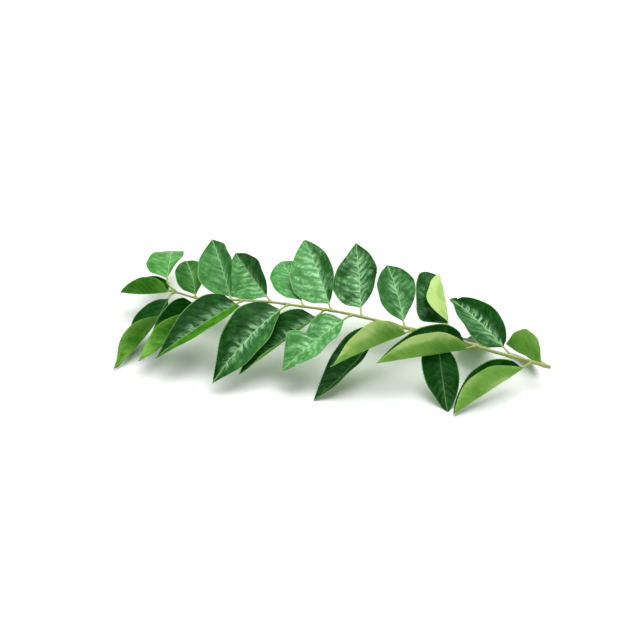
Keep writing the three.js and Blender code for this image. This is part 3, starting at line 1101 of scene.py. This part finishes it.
def stem_tree() -> Tree:
    """Builds the tree that draws the bark along the stem's line and sets pores on it.

    Returns:
        The tree.
    """
    wire, given, result = new_tree(
        "stem_along_line",
        "GeometryNodeTree",
        [
            Socket("Line", kind=Kind.GEOMETRY),
            Socket("Sides", 28, Kind.WHOLE),
            Socket("Groove depth", 0.0001),
            Socket("Bark height", 0.00006),
            Socket("Bark grain", 900.0),
            Socket("Pore density", 200000.0),
            Socket("Pore radius", 0.00009),
            Socket("Smallest pore", 0.5),
            Socket("Largest pore", 1.3),
            Socket("Pore height", 0.3),
            Socket("Seed", 3, Kind.WHOLE),
            Socket("Bark", kind=Kind.MATERIAL),
            Socket("Pore", kind=Kind.MATERIAL),
        ],
        [Socket("Geometry", kind=Kind.GEOMETRY)],
    )
    get = given.outputs
    line = wire.first("GeometryNodeMeshToCurve", {"Mesh": get["Line"]})
    line = wire.first("GeometryNodeSetCurveNormal", {"Curve": line}, mode="Z_UP")
    girth = wire.named("girth", "FLOAT")
    line = wire.first("GeometryNodeSetCurveRadius", {"Curve": line, "Radius": girth})
    circle = {"Resolution": get["Sides"], "Radius": 1.0}
    drawn = {
        "Curve": line,
        "Profile Curve": wire.first("GeometryNodeCurvePrimitiveCircle", circle),
        "Scale": wire.first("GeometryNodeInputRadius"),
        "Fill Caps": True,
    }
    bark = wire.first("GeometryNodeCurveToMesh", drawn)
    normal = wire.first("GeometryNodeInputNormal")
    _, _, up = wire.split(normal)
    groove = wire.times(wire.ramp(up, 0.86, 1.0), wire.times(get["Groove depth"], -1.0))
    place = wire.first("GeometryNodeInputPosition")
    rough = wire.less(wire.noise(place, get["Bark grain"], 3.0, 0.6), 0.5)
    height = wire.plus(groove, wire.times(rough, get["Bark height"]))
    moved = {"Geometry": bark, "Offset": wire.scaled(normal, height)}
    bark = wire.first("GeometryNodeSetPosition", moved)

    spots = wire.node(
        "GeometryNodeDistributePointsOnFaces",
        {"Mesh": bark, "Density": get["Pore density"], "Seed": get["Seed"]},
    ).outputs
    ball = {"Radius": get["Pore radius"], "Subdivisions": 1}
    pore = wire.first("GeometryNodeMeshIcoSphere", ball)
    marked = {"Geometry": pore, "Name": "is_pore", "Value": 1.0}
    pore = wire.first("GeometryNodeStoreNamedAttribute", marked, data_type="FLOAT", domain="FACE")
    range_ends = {2: get["Smallest pore"], 3: get["Largest pore"], "Seed": get["Seed"]}
    size = wire.node("FunctionNodeRandomValue", range_ends, data_type="FLOAT").outputs[1]
    set_on = wire.first(
        "GeometryNodeInstanceOnPoints",
        {
            "Points": spots["Points"],
            "Instance": pore,
            "Rotation": spots["Rotation"],
            "Scale": wire.join(size, size, get["Pore height"]),
        },
    )
    joined = wire.node("GeometryNodeJoinGeometry")
    for piece in (bark, set_on):
        wire.feed(joined.inputs[0], piece)
    real = wire.first("GeometryNodeRealizeInstances", {"Geometry": joined.outputs[0]})
    dressed = wire.first("GeometryNodeSetMaterial", {"Geometry": real, "Material": get["Bark"]})
    is_pore = wire.math("GREATER_THAN", wire.named("is_pore", "FLOAT"), 0.5)
    pores = {"Geometry": dressed, "Selection": is_pore, "Material": get["Pore"]}
    wire.feed(result.inputs[0], wire.first("GeometryNodeSetMaterial", pores))
    return wire.tree


def relief_tree() -> Tree:
    """Builds the tree that gives a leaflet its veins, quilted pads and gentle swells.

    Returns:
        The tree.
    """
    skins = {Skin.UPPER: "Upper", Skin.UNDER: "Under", Skin.STALK: "Stalk"}
    wire, given, result = new_tree(
        "leaflet_relief",
        "GeometryNodeTree",
        [
            Socket("Blade", kind=Kind.GEOMETRY),
            Socket("Vein pairs", VEIN_PAIRS),
            Socket("Vein slope", VEIN_SLOPE),
            Socket("Pad height", 0.00016),
            Socket("Vein height", 0.00008),
            Socket("Swell height", 0.0005),
            Socket("Swell size", 0.09),
            Socket("Floor gap", 0.00002),
            Socket("Seed", 0, Kind.WHOLE),
            *(Socket(name, kind=Kind.MATERIAL) for name in skins.values()),
        ],
        [Socket("Geometry", kind=Kind.GEOMETRY)],
    )
    get = given.outputs
    t, q, under = wire.split(wire.named("blade", "FLOAT_VECTOR"))
    sheet = wire.named("sheet", "FLOAT_VECTOR")
    side = wire.math("ABSOLUTE", q)
    _, near = vein_field(wire, t, q, sheet, get["Vein pairs"], get["Vein slope"])
    inner = wire.ramp(side, 0.82, 1.0, (1.0, 0.0))
    outer = wire.ramp(side, 0.0, 0.15)
    pads = wire.times(wire.ramp(near, 0.0, 0.42), wire.times(inner, outer))
    veins = wire.times(wire.ramp(near, 0.0, 0.1, (1.0, 0.0)), inner)
    shift = wire.join(0.0, 0.0, wire.times(get["Seed"], 7.3))
    shifted = wire.first("ShaderNodeVectorMath", {0: sheet, 1: shift}, operation="ADD")
    swell = wire.less(wire.noise(shifted, get["Swell size"], 1.0), 0.5)
    height = wire.times(pads, get["Pad height"])
    height = wire.plus(height, wire.times(swell, get["Swell height"]))
    height = wire.less(height, wire.times(wire.times(veins, under), get["Vein height"]))
    offset = wire.scaled(wire.named("lift", "FLOAT_VECTOR"), height)
    moved = wire.first("GeometryNodeSetPosition", {"Geometry": get["Blade"], "Offset": offset})
    x, y, z = wire.split(wire.first("GeometryNodeInputPosition"))
    raised = wire.join(x, y, wire.math("MAXIMUM", z, get["Floor gap"]))
    moved = wire.first("GeometryNodeSetPosition", {"Geometry": moved, "Position": raised})
    dressed = wire.first("GeometryNodeRealizeInstances", {"Geometry": moved})
    part = wire.named("part", "INT")
    for skin, name in skins.items():
        same = {2: part, 3: skin.value}
        chosen = wire.first("FunctionNodeCompare", same, data_type="INT", operation="EQUAL")
        feeds = {"Geometry": dressed, "Selection": chosen, "Material": get[name]}
        dressed = wire.first("GeometryNodeSetMaterial", feeds)
    wire.feed(result.inputs[0], dressed)
    return wire.tree


# ---- Stem -------------------------------------------------------------------------------


@dataclass(frozen=True)
class Stem:
    """The stem, swollen where the leaflets' stalks join it."""

    line: StemLine
    joints: tuple[float, ...]
    step: float = 0.3
    swelling: float = 0.24
    swelling_length: float = 1.6
    wander: float = 0.05
    wander_waves: Pair = (0.83, 0.31)

    def build(self) -> Piece:
        """Makes the bare line with its girth at each point.

        Returns:
            The object, a row of points and edges.
        """
        far = np.arange(0, self.line.length, self.step)
        points = self.line.point(far) * MM
        girth = self.line.radius(far)
        for joint in self.joints:
            near = ((far - joint) / self.swelling_length) ** 2
            girth = girth * (1 + self.swelling * np.exp(-near))
        short, long = self.wander_waves
        girth = girth * (1 + self.wander * np.sin(far * short) * np.sin(far * long + 1))
        mesh = bpy.data.meshes.new("stem")
        mesh.from_pydata(points.tolist(), [(i, i + 1) for i in range(len(far) - 1)], [])
        add_values(mesh, "girth", girth * MM)
        add_values(mesh, "sheet", np.stack([far, 0 * far, 0 * far], axis=1))
        return new_piece("stem", mesh)

    def dress(self, piece: Piece, tree: Tree, bark: Material, pore: Material) -> None:
        """Draws the bark along the line and dresses it.

        Args:
            piece: The line from build.
            tree: The stem's tree.
            bark: The bark's material.
            pore: The pores' material.
        """
        run_tree(piece, tree, {"Bark": bark, "Pore": pore})
        declare(piece, "rachis")


# ---- Leaflets ---------------------------------------------------------------------------


def smooth(share: np.ndarray) -> np.ndarray:
    """An eased share, kept between 0 and 1."""
    share = np.clip(share, 0, 1)
    return share * share * (3 - 2 * share)


def outline(points: tuple[Pair, ...], t: np.ndarray) -> np.ndarray:
    """A smooth line through drawn points that doesn't swing past them.

    Args:
        points: The drawn points, from t = 0 to t = 1.
        t: Where the line is wanted.

    Returns:
        The line's height at each t.
    """
    x, y = np.array(points, dtype=float).T
    step = np.diff(x)
    slope = np.diff(y) / step
    product, total = slope[:-1] * slope[1:], slope[:-1] + slope[1:]
    inner = np.where(product > 0, 2 * product / np.where(product > 0, total, 1), 0)
    lean = np.concatenate([slope[:1], inner, slope[-1:]])
    k = np.clip(np.searchsorted(x, t) - 1, 0, len(step) - 1)
    u = (t - x[k]) / step[k]
    bend = u * (1 - u) * ((1 - u) * lean[k] - u * lean[k + 1])
    return y[k] + np.diff(y)[k] * smooth(u) + step[k] * bend


def around(upper: Halves, under: Halves, edge: Halves) -> np.ndarray:
    """Joins the columns of a blade's two halves into closed rings.

    Args:
        upper: The tipward and the footward half's columns on top, from the midrib out.
        under: Their columns underneath.
        edge: The one column at the margin of each.

    Returns:
        The rings, from the tipward margin over the top and back underneath.
    """
    top = [upper[0][:, ::-1], upper[1][:, 1:], edge[1]]
    bottom = [under[1][:, ::-1], under[0][:, 1:], edge[0]]
    return np.concatenate(top + bottom, axis=1)


def signed_volume(vertices: np.ndarray, faces: list[tuple[int, ...]]) -> float:
    """The volume inside faces, negative where they point inwards.

    Args:
        vertices: The corners' places.
        faces: Three or four corners each.

    Returns:
        The volume in the vertices' own unit, cubed.
    """
    quads = np.array([(*corners, corners[-1])[:4] for corners in faces])
    a, b, c, d = (vertices[quads[:, k]] for k in range(4))
    first = np.einsum("ij,ij->i", a, np.cross(b, c))
    second = np.einsum("ij,ij->i", a, np.cross(c, d))
    return float((first + second).sum() / 6)


@dataclass(frozen=True)
class HalfBlade:
    """One half of a blade in columns from the midrib to the margin, one row for each ring."""

    upper: np.ndarray
    under: np.ndarray
    edge: np.ndarray
    normal: np.ndarray
    across: np.ndarray
    q: np.ndarray


@dataclass(frozen=True)
class Leaflet:
    """One leaflet: a short stalk that flattens into a folded blade of real thickness.

    Lengths are in millimetres. Rings stand along the leaflet and columns across it.
    """

    node: str
    leaf: Leaf
    row: Row
    line: StemLine
    seed: int
    ends: bool = False
    stalk_rings: int = 14
    rings: int = 150
    ring_crowding: float = 0.4
    columns: int = 19
    column_crowding: float = 1.4
    # The blade's section, from the midrib to the margin.
    thickness: float = 0.3
    margin_thinning: float = 0.6
    fold_start: float = 1.1
    fold_boost: float = 1.02
    curl_start: float = 2
    curl_level: float = 0.3
    rib_width: float = 0.42
    rib_depth: float = 0.5
    rib_hollow: float = 0.14
    rib_taper: float = 0.75
    edge_round: float = 0.12
    # The margin's ripples, and the outline with its fine scallops.
    ripples: float = 2.6
    ripple_reach: float = 2.2
    ripple_shift: float = 2.3
    unevenness: float = 0.012
    uneven_waves: float = 3.1
    scallop_depth: float = 0.16
    scallops: float = 0.7
    scallop_shift: float = 1.7
    scallop_fade: float = 3
    tip_width: float = 0.15
    belly_tipward: float = -0.07
    belly_footward: float = 0.03
    # The stalk, from its root in the stem to its shoulder in the blade.
    gap: float = 0.3
    root_share: float = 0.6
    usual_turn: float = 55
    usual_share: float = 0.45
    own_share: float = 0.55
    stalk_radius: float = 0.42
    foot_swelling: float = 0.55
    foot_length: float = 0.7
    shoulder: float = 0.06
    seam: float = 0.02
    seam_under: float = 0.05
    stalk_end: float = 0.02
    root_mark: float = -0.12
    # The floor, and the values that the relief and the skins read.
    floor_bend: float = 0.8
    lowest: float = 0.02
    pad_height: float = 0.16
    flat_foot: float = 0.12
    flat_tip: float = 0.04
    sheet_spacing: float = 31.0
    half_change: float = 2.0
    # How far the painted highlight on the underside spreads along and across.
    highlight_along: float = 0.2
    highlight_out: float = 0.35

    def stem_directions(self) -> tuple[np.ndarray, np.ndarray]:
        """The level directions along the stem and out from it, where this leaflet grows.

        Returns:
            The direction towards the stem's tip, and the one to the leaflet's own side.
        """
        tangent = self.line.tangent(min(self.leaf.at, self.line.length))
        ahead = np.array([tangent[0], tangent[1], 0.0])
        ahead /= np.linalg.norm(ahead)
        return ahead, np.array([ahead[1], -ahead[0], 0.0]) * self.row.value

    def directions(
        self, turn: np.ndarray, rise: np.ndarray, roll: np.ndarray
    ) -> tuple[np.ndarray, np.ndarray, np.ndarray]:
        """The directions along the leaflet, across it and out of its face.

        Args:
            turn: Degrees from the stem's tipward direction, one for each ring.
            rise: Degrees above level.
            roll: Degrees about the midrib.

        Returns:
            Three rows of unit vectors.
        """
        ahead, out = self.stem_directions()
        t, s, r = (np.radians(angle)[:, None] for angle in (turn, rise, roll))
        level = ahead * np.cos(t) + out * np.sin(t)
        lateral = ahead * np.sin(t) - out * np.cos(t)
        along = level * np.cos(s) + np.array([0, 0, 1.0]) * np.sin(s)
        face = np.cross(along, lateral) * self.row.value
        across = lateral * np.cos(r) - face * np.sin(r)
        return along, across, face * np.cos(r) + lateral * np.sin(r)

    def foot(self, start_turn: float) -> tuple[np.ndarray, float]:
        """Where the stalk leaves the stem.

        Args:
            start_turn: The turn of the stalk's foot in degrees.

        Returns:
            The foot's place, and how far the root reaches back from it into the stem.
        """
        line = self.line
        at = min(self.leaf.at, line.length)
        angle = math.radians(start_turn)
        room = self.gap + self.stalk_radius * (math.sin(angle) if self.ends else math.cos(angle))
        _, out = self.stem_directions()
        reach = line.tangent(at) * room if self.ends else out * (line.radius(at) + room)
        return line.point(at) + reach, room + self.root_share * float(line.radius(at))

    def midline(self) -> tuple[np.ndarray, ...]:
        """The centre line of stalk and blade.

        Returns:
            For each ring: its place, its share t (negative on the stalk), and its directions
            across and out of the face.
        """
        leaf = self.leaf
        start_turn = leaf.turn if self.ends else leaf.stalk_turn
        if start_turn is None:
            start_turn = self.own_share * leaf.turn + self.usual_share * self.usual_turn
        foot, root = self.foot(start_turn)

        u = np.linspace(0, 1, self.stalk_rings, endpoint=False)
        turn = start_turn + (leaf.turn - start_turn) * smooth(u)
        rise = leaf.stalk_rise + (leaf.rise - leaf.stalk_rise) * smooth(u)
        along, lateral, face = self.directions(turn, rise, leaf.roll * smooth(u))
        steps = along * leaf.stalk / self.stalk_rings
        stalk = foot + np.vstack([np.zeros(3), np.cumsum(steps, axis=0)])
        stalk, base = stalk[:-1], stalk[-1]
        stalk = np.vstack([stalk[0] - along[0] * root, stalk])
        lateral, face = np.vstack([lateral[:1], lateral]), np.vstack([face[:1], face])

        i = np.arange(self.rings + 1) / self.rings
        t = (1 - self.ring_crowding) * i + self.ring_crowding * (1 - np.cos(np.pi * i)) / 2
        mid = (t[1:] + t[:-1]) / 2
        flow, _, _ = self.directions(
            leaf.turn + leaf.sweep * mid, leaf.rise - leaf.droop * mid, 0 * mid
        )
        steps = flow * (leaf.length * np.diff(t))[:, None]
        blade = base + np.vstack([np.zeros(3), np.cumsum(steps, axis=0)])
        _, across, up = self.directions(
            leaf.turn + leaf.sweep * t, leaf.rise - leaf.droop * t, leaf.roll + leaf.twist * t
        )
        share = np.concatenate([[self.root_mark], (u - 1) * leaf.stalk / leaf.length, t])
        return (
            np.vstack([stalk, blade]), share, np.vstack([lateral, across]), np.vstack([face, up])
        )

    def reach(self, t: np.ndarray, half: Half) -> np.ndarray:
        """Half width of one half of the blade.

        Args:
            t: Shares of the blade's length.
            half: Which half.

        Returns:
            Millimetres for each share.
        """
        leaf, sign = self.leaf, half.value
        drawn, shift = leaf.foot_half, self.belly_footward + leaf.skew
        if half is Half.TIPWARD:
            drawn, shift = leaf.tip_half, self.belly_tipward
        inside = np.clip(t, 0, 1)
        if drawn:
            width = outline(drawn, inside)
        else:
            belly = leaf.belly + shift
            base = leaf.taper * belly / (1 - belly)
            peak = belly**base * (1 - belly) ** leaf.taper
            wide = inside**base * (1 - inside) ** leaf.taper / peak
            width = leaf.width / 2 * (1 + sign * leaf.lobe) * wide
        phase = self.seed * self.scallop_shift + sign
        width *= 1 + self.unevenness * np.sin(2 * np.pi * self.uneven_waves * t + phase)
        scallops = self.scallops * leaf.length
        scallop = np.abs(np.sin(np.pi * scallops * t + phase))
        width -= self.scallop_depth * scallop * smooth(width / self.scallop_fade)
        for bite in leaf.bites:
            if bite.half is half:
                width *= 1 - bite.depth * np.clip(1 - np.abs(t - bite.at) / bite.span, 0, 1)
        return np.maximum(width, self.tip_width)

    def half_blade(
        self, place: np.ndarray, t: np.ndarray, lateral: np.ndarray, face: np.ndarray, half: Half
    ) -> HalfBlade:
        """One half of the blade, folded, curled and rippled.

        Args:
            place: The midrib's points.
            t: Their shares of the blade's length.
            lateral: The directions across.
            face: The directions out of the face.
            half: Which half.

        Returns:
            The half's columns.
        """
        leaf, sign = self.leaf, half.value
        s = (np.arange(self.columns + 1) / self.columns) ** self.column_crowding
        reach = self.reach(t, half)[:, None]
        far = s[None, :] * reach
        fold = np.radians(leaf.fold + leaf.close * t)[:, None]
        curl = np.radians(leaf.curl) * (s**2 - self.curl_level) * smooth(far / self.curl_start)
        bend = fold * smooth(far / self.fold_start) * self.fold_boost + curl
        mid = (bend[:, 1:] + bend[:, :-1]) / 2
        step = np.diff(far, axis=1)
        right, rise = (
            np.concatenate([0 * reach, np.cumsum(part(mid) * step, axis=1)], axis=1)
            for part in (np.cos, np.sin)
        )
        outward, up = lateral[:, None], face[:, None]
        middle = place[:, None] + outward * (sign * right)[..., None] + up * rise[..., None]
        normal = up * np.cos(bend)[..., None] - outward * (sign * np.sin(bend))[..., None]
        ends = np.sin(np.pi * np.clip(t, 0, 1))[:, None] ** 0.5
        phase = self.seed * self.ripple_shift
        ripple = np.sin(2 * np.pi * self.ripples * t + phase + sign)[:, None]
        wave = leaf.wave * s**self.ripple_reach * ripple * ends
        middle = middle + normal * wave[..., None]
        core = self.thickness / 2
        middle[..., 2] = self.on_surface(middle[..., 2] - core) + core

        thick = core * (1 - self.margin_thinning * s**4)
        rib = np.exp(-((far / self.rib_width) ** 2))
        taper = (1 - self.rib_taper * np.clip(t, 0, 1))[:, None]
        return HalfBlade(
            upper=middle + normal * (thick - self.rib_hollow * rib * taper)[..., None],
            under=middle - normal * (thick + self.rib_depth * rib * taper)[..., None],
            edge=middle[:, -1:] + (middle[:, -1:] - middle[:, -2:-1]) * self.edge_round,
            normal=normal,
            across=far * sign,
            q=s * sign + 0 * far,
        )

    def on_surface(self, z: np.ndarray) -> np.ndarray:
        """Heights bent flat onto the surface that the sprig lies on.

        Args:
            z: Heights in millimetres.

        Returns:
            The same heights, eased so that none is below 0.
        """
        bend = self.floor_bend
        eased = (z + bend) ** 2 / (4 * bend)
        return np.where(z < -bend, 0, np.where(z > bend, z, eased))

    def stalk(
        self, place: np.ndarray, share: np.ndarray, lateral: np.ndarray, face: np.ndarray
    ) -> np.ndarray:
        """The round stalk's rings, carried on along the blade's midrib.

        Args:
            place: The centre line's points.
            share: Their shares of the blade's length.
            lateral: The directions across.
            face: The directions out of the face.

        Returns:
            The rings' points, in the order of the blade's own.
        """
        columns = 2 * self.columns + 1
        top, bottom = (np.linspace(start, start + np.pi, columns) for start in (0, np.pi))
        seam, under = self.seam, self.seam_under
        top[0], top[-1] = seam, np.pi - seam
        bottom[0], bottom[-1] = np.pi + under, 2 * np.pi - under
        angle = np.concatenate([top, [np.pi + seam], bottom, [2 * np.pi - seam]])[None, :, None]
        past_foot = np.clip(share - share[1], 0, None) * self.leaf.length
        swelling = self.foot_swelling * np.exp(-past_foot / self.foot_length)
        radius = self.stalk_radius * (1 + swelling)
        radius[0] = radius[1]
        outward = lateral[:, None] * np.cos(angle) + face[:, None] * np.sin(angle)
        return place[:, None] + radius[:, None, None] * outward

    def faces(self, share: np.ndarray) -> tuple[list[tuple[int, ...]], list[int]]:
        """The faces between the rings and over both ends.

        Args:
            share: The rings' shares of the blade's length.

        Returns:
            Each face's corners, and which skin it has.
        """
        n, ring, last = self.columns, 4 * self.columns + 4, len(share) - 1
        faces, parts = [], []
        for r in range(last):
            stalky = share[r + 1] < self.stalk_end
            for k in range(ring):
                a, b = r * ring + k, r * ring + (k + 1) % ring
                faces.append((a, b, b + ring, a + ring))
                plain = Skin.UPPER if k <= 2 * n or k == ring - 1 else Skin.UNDER
                parts.append((Skin.STALK if stalky else plain).value)
        rungs = [(k, k + 1, 4 * n + 1 - k, 4 * n + 2 - k) for k in range(2 * n)]
        rungs += [(ring - 1, 0, 4 * n + 2), (2 * n, 2 * n + 1, 2 * n + 2)]
        faces += [rung[::-1] for rung in rungs]
        faces += [tuple(last * ring + k for k in rung) for rung in rungs]
        parts += [Skin.STALK.value] * len(rungs) + [Skin.UPPER.value] * len(rungs)
        return faces, parts

    def colouring(self, t: np.ndarray, q: np.ndarray, across: np.ndarray) -> dict[str, np.ndarray]:
        """The values that tell the skins how light, warm or pale each point is, with the upper
        skin's painted sheen and the underside's painted highlight.

        Args:
            t: Each point's share of the blade's length.
            q: Its share of the half width.
            across: Its distance from the midrib in millimetres.

        Returns:
            The values by name.
        """
        leaf = self.leaf
        tipward = smooth(0.5 + across / self.half_change)
        light, painted_sheen, sheen, warmth = (
            foot + (tip - foot) * tipward
            for tip, foot in (leaf.light, leaf.painted_sheen, leaf.sheen, leaf.warmth)
        )
        # A painted highlight: a paler place on the underside, added to how pale it is.
        along, out, strength = leaf.painted_highlight
        near = ((t - along) / self.highlight_along) ** 2 + ((np.abs(q) - out) / self.highlight_out) ** 2
        return {
            "tone": np.stack([light, painted_sheen, sheen], axis=-1),
            "warmth": warmth,
            "paleness": leaf.pale + strength * np.exp(-near),
        }

    def build(self) -> Piece:
        """Makes the leaflet's plain mesh with the values that its relief and skins read.

        Returns:
            The object.
        """
        place, share, lateral, face = self.midline()
        flat = np.clip(share, 0, 1)
        tip, foot = (self.half_blade(place, flat, lateral, face, half) for half in Half)
        points = around([tip.upper, foot.upper], [tip.under, foot.under], [tip.edge, foot.edge])
        normals, across, q = (
            around(pair, pair, [columns[:, -1:] for columns in pair])
            for pair in ([tip.normal, foot.normal], [tip.across, foot.across], [tip.q, foot.q])
        )
        spread = smooth(share / self.shoulder)[:, None, None]
        points = self.stalk(place, share, lateral, face) * (1 - spread) + points * spread
        points[..., 2] = np.maximum(points[..., 2], self.lowest)

        under = np.arange(points.shape[1]) > 2 * self.columns
        t, q, under = np.broadcast_arrays(share[:, None], q, under)
        shift = np.full(q.shape, self.seed * self.sheet_spacing)
        quiet = smooth(share / self.flat_foot) * smooth((1 - share) / self.flat_tip)
        values = {
            "blade": np.stack([t, q, under], axis=-1),
            "sheet": np.stack([t * self.leaf.length, across, shift], axis=-1),
            "lift": normals * quiet[:, None, None],
            **self.colouring(t, q, across),
        }
        faces, parts = self.faces(share)
        vertices = points.reshape(-1, 3) * MM
        if signed_volume(vertices, faces) < 0:
            faces = [corners[::-1] for corners in faces]
        mesh = bpy.data.meshes.new(self.node)
        mesh.from_pydata(vertices.tolist(), [], faces)
        for name, value in values.items():
            add_values(mesh, name, value.reshape(-1, 3) if value.ndim == 3 else value.ravel())
        add_values(mesh, "part", np.array(parts), "FACE")
        return new_piece(self.node.replace("leaflet", "leaf"), mesh)

    def dress(self, piece: Piece, tree: Tree, skins: dict[Skin, Material]) -> None:
        """Raises the relief and dresses the leaflet.

        Args:
            piece: The mesh from build.
            tree: The relief's tree.
            skins: The material of each covering.
        """
        settings = {
            "Pad height": self.pad_height * self.leaf.relief * MM,
            "Seed": self.seed,
            "Upper": skins[Skin.UPPER],
            "Under": skins[Skin.UNDER],
            "Stalk": skins[Skin.STALK],
        }
        run_tree(piece, tree, settings)
        declare(piece, self.node)


# ---- The whole sprig --------------------------------------------------------------------


@dataclass(frozen=True)
class Sprig:
    """The stem with its two rows of leaflets and the one at its end."""

    front: tuple[Leaf, ...] = FRONT_ROW
    back: tuple[Leaf, ...] = BACK_ROW
    end: Leaf = END_LEAF
    seed_front: int = 1
    seed_back: int = 21
    seed_end: int = 41

    def placed_line(self) -> StemLine:
        """The stem's line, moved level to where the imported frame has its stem.

        Returns:
            The moved line.
        """
        plain = StemLine()
        low, high = (np.array(corner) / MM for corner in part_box("rachis"))
        shift = (low + high) / 2 - (plain.line.min(0) + plain.line.max(0)) / 2
        return StemLine(
            tuple((x + float(shift[0]), y + float(shift[1]), z) for x, y, z in plain.points)
        )

    def leaflets(self, line: StemLine) -> list[Leaflet]:
        """Places both rows and the end leaflet on the stem.

        Args:
            line: The placed stem line.

        Returns:
            The leaflets, from the cut end in each row.
        """
        rows = (
            ("front", self.front, Row.FRONT, self.seed_front),
            ("back", self.back, Row.BACK, self.seed_back),
        )
        placed = [
            Leaflet(f"leaflet_{name}_{i + 1}", leaf, row, line, seed + i)
            for name, leaves, row, seed in rows
            for i, leaf in enumerate(leaves)
        ]
        end = Leaflet("leaflet_tip", self.end, Row.FRONT, line, self.seed_end, ends=True)
        return [*placed, end]

    def build(self) -> Iterator[Piece]:
        """Builds and dresses every piece in order.

        Yields:
            Each finished piece.
        """
        line = self.placed_line()
        leaflets = self.leaflets(line)
        build_veins()
        build_grain()
        stalk = StemFinish(
            "leaf_stalk", tint(152, 178, 92), tint(146, 136, 74), brownness=0.4, cut_end=False
        )
        skins = {
            Skin.UPPER: UpperFinish().build(),
            Skin.UNDER: UnderFinish().build(),
            Skin.STALK: stalk.build(),
        }
        stem = Stem(line, tuple(leaflet.leaf.at for leaflet in leaflets if not leaflet.ends))
        piece = stem.build()
        stem.dress(piece, stem_tree(), StemFinish("stem_bark").build(), PoreFinish().build())
        yield piece
        relief = relief_tree()
        for leaflet in leaflets:
            piece = leaflet.build()
            leaflet.dress(piece, relief, skins)
            yield piece


# ---- Studio -----------------------------------------------------------------------------


@dataclass(frozen=True)
class Lamp:
    """One large soft square light, in metres and watts."""

    name: str
    place: Point
    size: float
    power: float

    def build(self) -> None:
        """Hangs the light, facing the sprig."""
        lamp = bpy.data.lights.new(self.name, "AREA")
        lamp.shape = "SQUARE"
        lamp.size = self.size
        lamp.energy = self.power
        holder = bpy.data.objects.new(self.name, lamp)
        holder.location = self.place
        holder.rotation_mode = "QUATERNION"
        holder.rotation_quaternion = (-Vector(self.place)).to_track_quat("-Z", "Y")
        bpy.context.scene.collection.objects.link(holder)


@dataclass(frozen=True)
class Studio:
    """The pale floor, the soft light and the camera, which aims at a point in millimetres."""

    floor_size: float = 3.0
    floor_colour: Colour = tint(238, 238, 238)
    floor_roughness: float = 0.85
    floor_specular: float = 0.1
    room_colour: Colour = (0.95, 0.98, 1.0, 1.0)
    room_light: float = 0.5
    lamps: tuple[Lamp, ...] = (
        Lamp("light_above", (0.06, 0.4, 1.15), 1.1, 19.0),
        Lamp("light_left", (-0.9, -0.2, 0.9), 0.8, 3.0),
    )
    azimuth: float = 19
    elevation: float = 32
    distance: float = 0.610
    lens: float = 75
    sensor: float = 36
    clip: Pair = (0.01, 20)
    aim: Point = (0.0, -2.0, 14.0)

    def build(self, line: StemLine) -> None:
        """Sets up the floor, the lights and the camera.

        Args:
            line: The placed stem line, which says where the sprig stands.
        """
        self.build_floor()
        self.build_room()
        for lamp in self.lamps:
            lamp.build()
        shift = np.array(line.points[0]) - np.array(StemLine().points[0])
        self.build_camera(Vector(tuple((np.array(self.aim) + shift) * MM)))

    def build_floor(self) -> None:
        """Lays the plain pale floor."""
        half = self.floor_size / 2
        mesh = bpy.data.meshes.new("floor")
        corners = [(-half, -half, 0), (half, -half, 0), (half, half, 0), (-half, half, 0)]
        mesh.from_pydata(corners, [], [(0, 1, 2, 3)])
        floor = new_piece("floor", mesh)
        material, wire = new_material("floor_paper")
        feeds = {
            "Base Color": self.floor_colour,
            "Roughness": self.floor_roughness,
            "Specular IOR Level": self.floor_specular,
        }
        end_material(wire, wire.first("ShaderNodeBsdfPrincipled", feeds))
        mesh.materials.append(material)
        floor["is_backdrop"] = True

    def build_room(self) -> None:
        """Fills the room with an even pale light."""
        room = bpy.data.worlds.new("room")
        room.use_nodes = True
        back = room.node_tree.nodes["Background"]
        back.inputs["Color"].default_value = self.room_colour
        back.inputs["Strength"].default_value = self.room_light
        bpy.context.scene.world = room

    def build_camera(self, aim: Vector) -> None:
        """Sets the camera.

        Args:
            aim: The point that it looks at, in metres.
        """
        a, e = math.radians(self.azimuth), math.radians(self.elevation)
        back = Vector((math.sin(a) * math.cos(e), -math.cos(a) * math.cos(e), math.sin(e)))
        lens = bpy.data.cameras.new("camera")
        lens.lens, lens.sensor_width = self.lens, self.sensor
        lens.clip_start, lens.clip_end = self.clip
        camera = bpy.data.objects.new("camera", lens)
        camera.location = aim + back * self.distance
        camera.rotation_mode = "QUATERNION"
        camera.rotation_quaternion = (-back).to_track_quat("-Z", "Y")
        bpy.context.scene.collection.objects.link(camera)
        bpy.context.scene.camera = camera


def save_sizes() -> None:
    boxes = {"cad": CAD_BOX, "visual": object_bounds()}
    plain = {name: [list(map(float, corner)) for corner in box] for name, box in boxes.items()}


def main() -> None:
    """Builds the sprig piece by piece, reports each piece, and sets up the studio."""
    logging.basicConfig(level=logging.INFO, format="%(message)s")
    bpy.context.scene.view_settings.view_transform = "Standard"
    sprig = Sprig()
    for piece in sprig.build():
        log.info("%s: %d faces", piece.name, len(piece.data.polygons))
    Studio().build(sprig.placed_line())
    save_sizes()


if __name__ == "__main__":
    main()
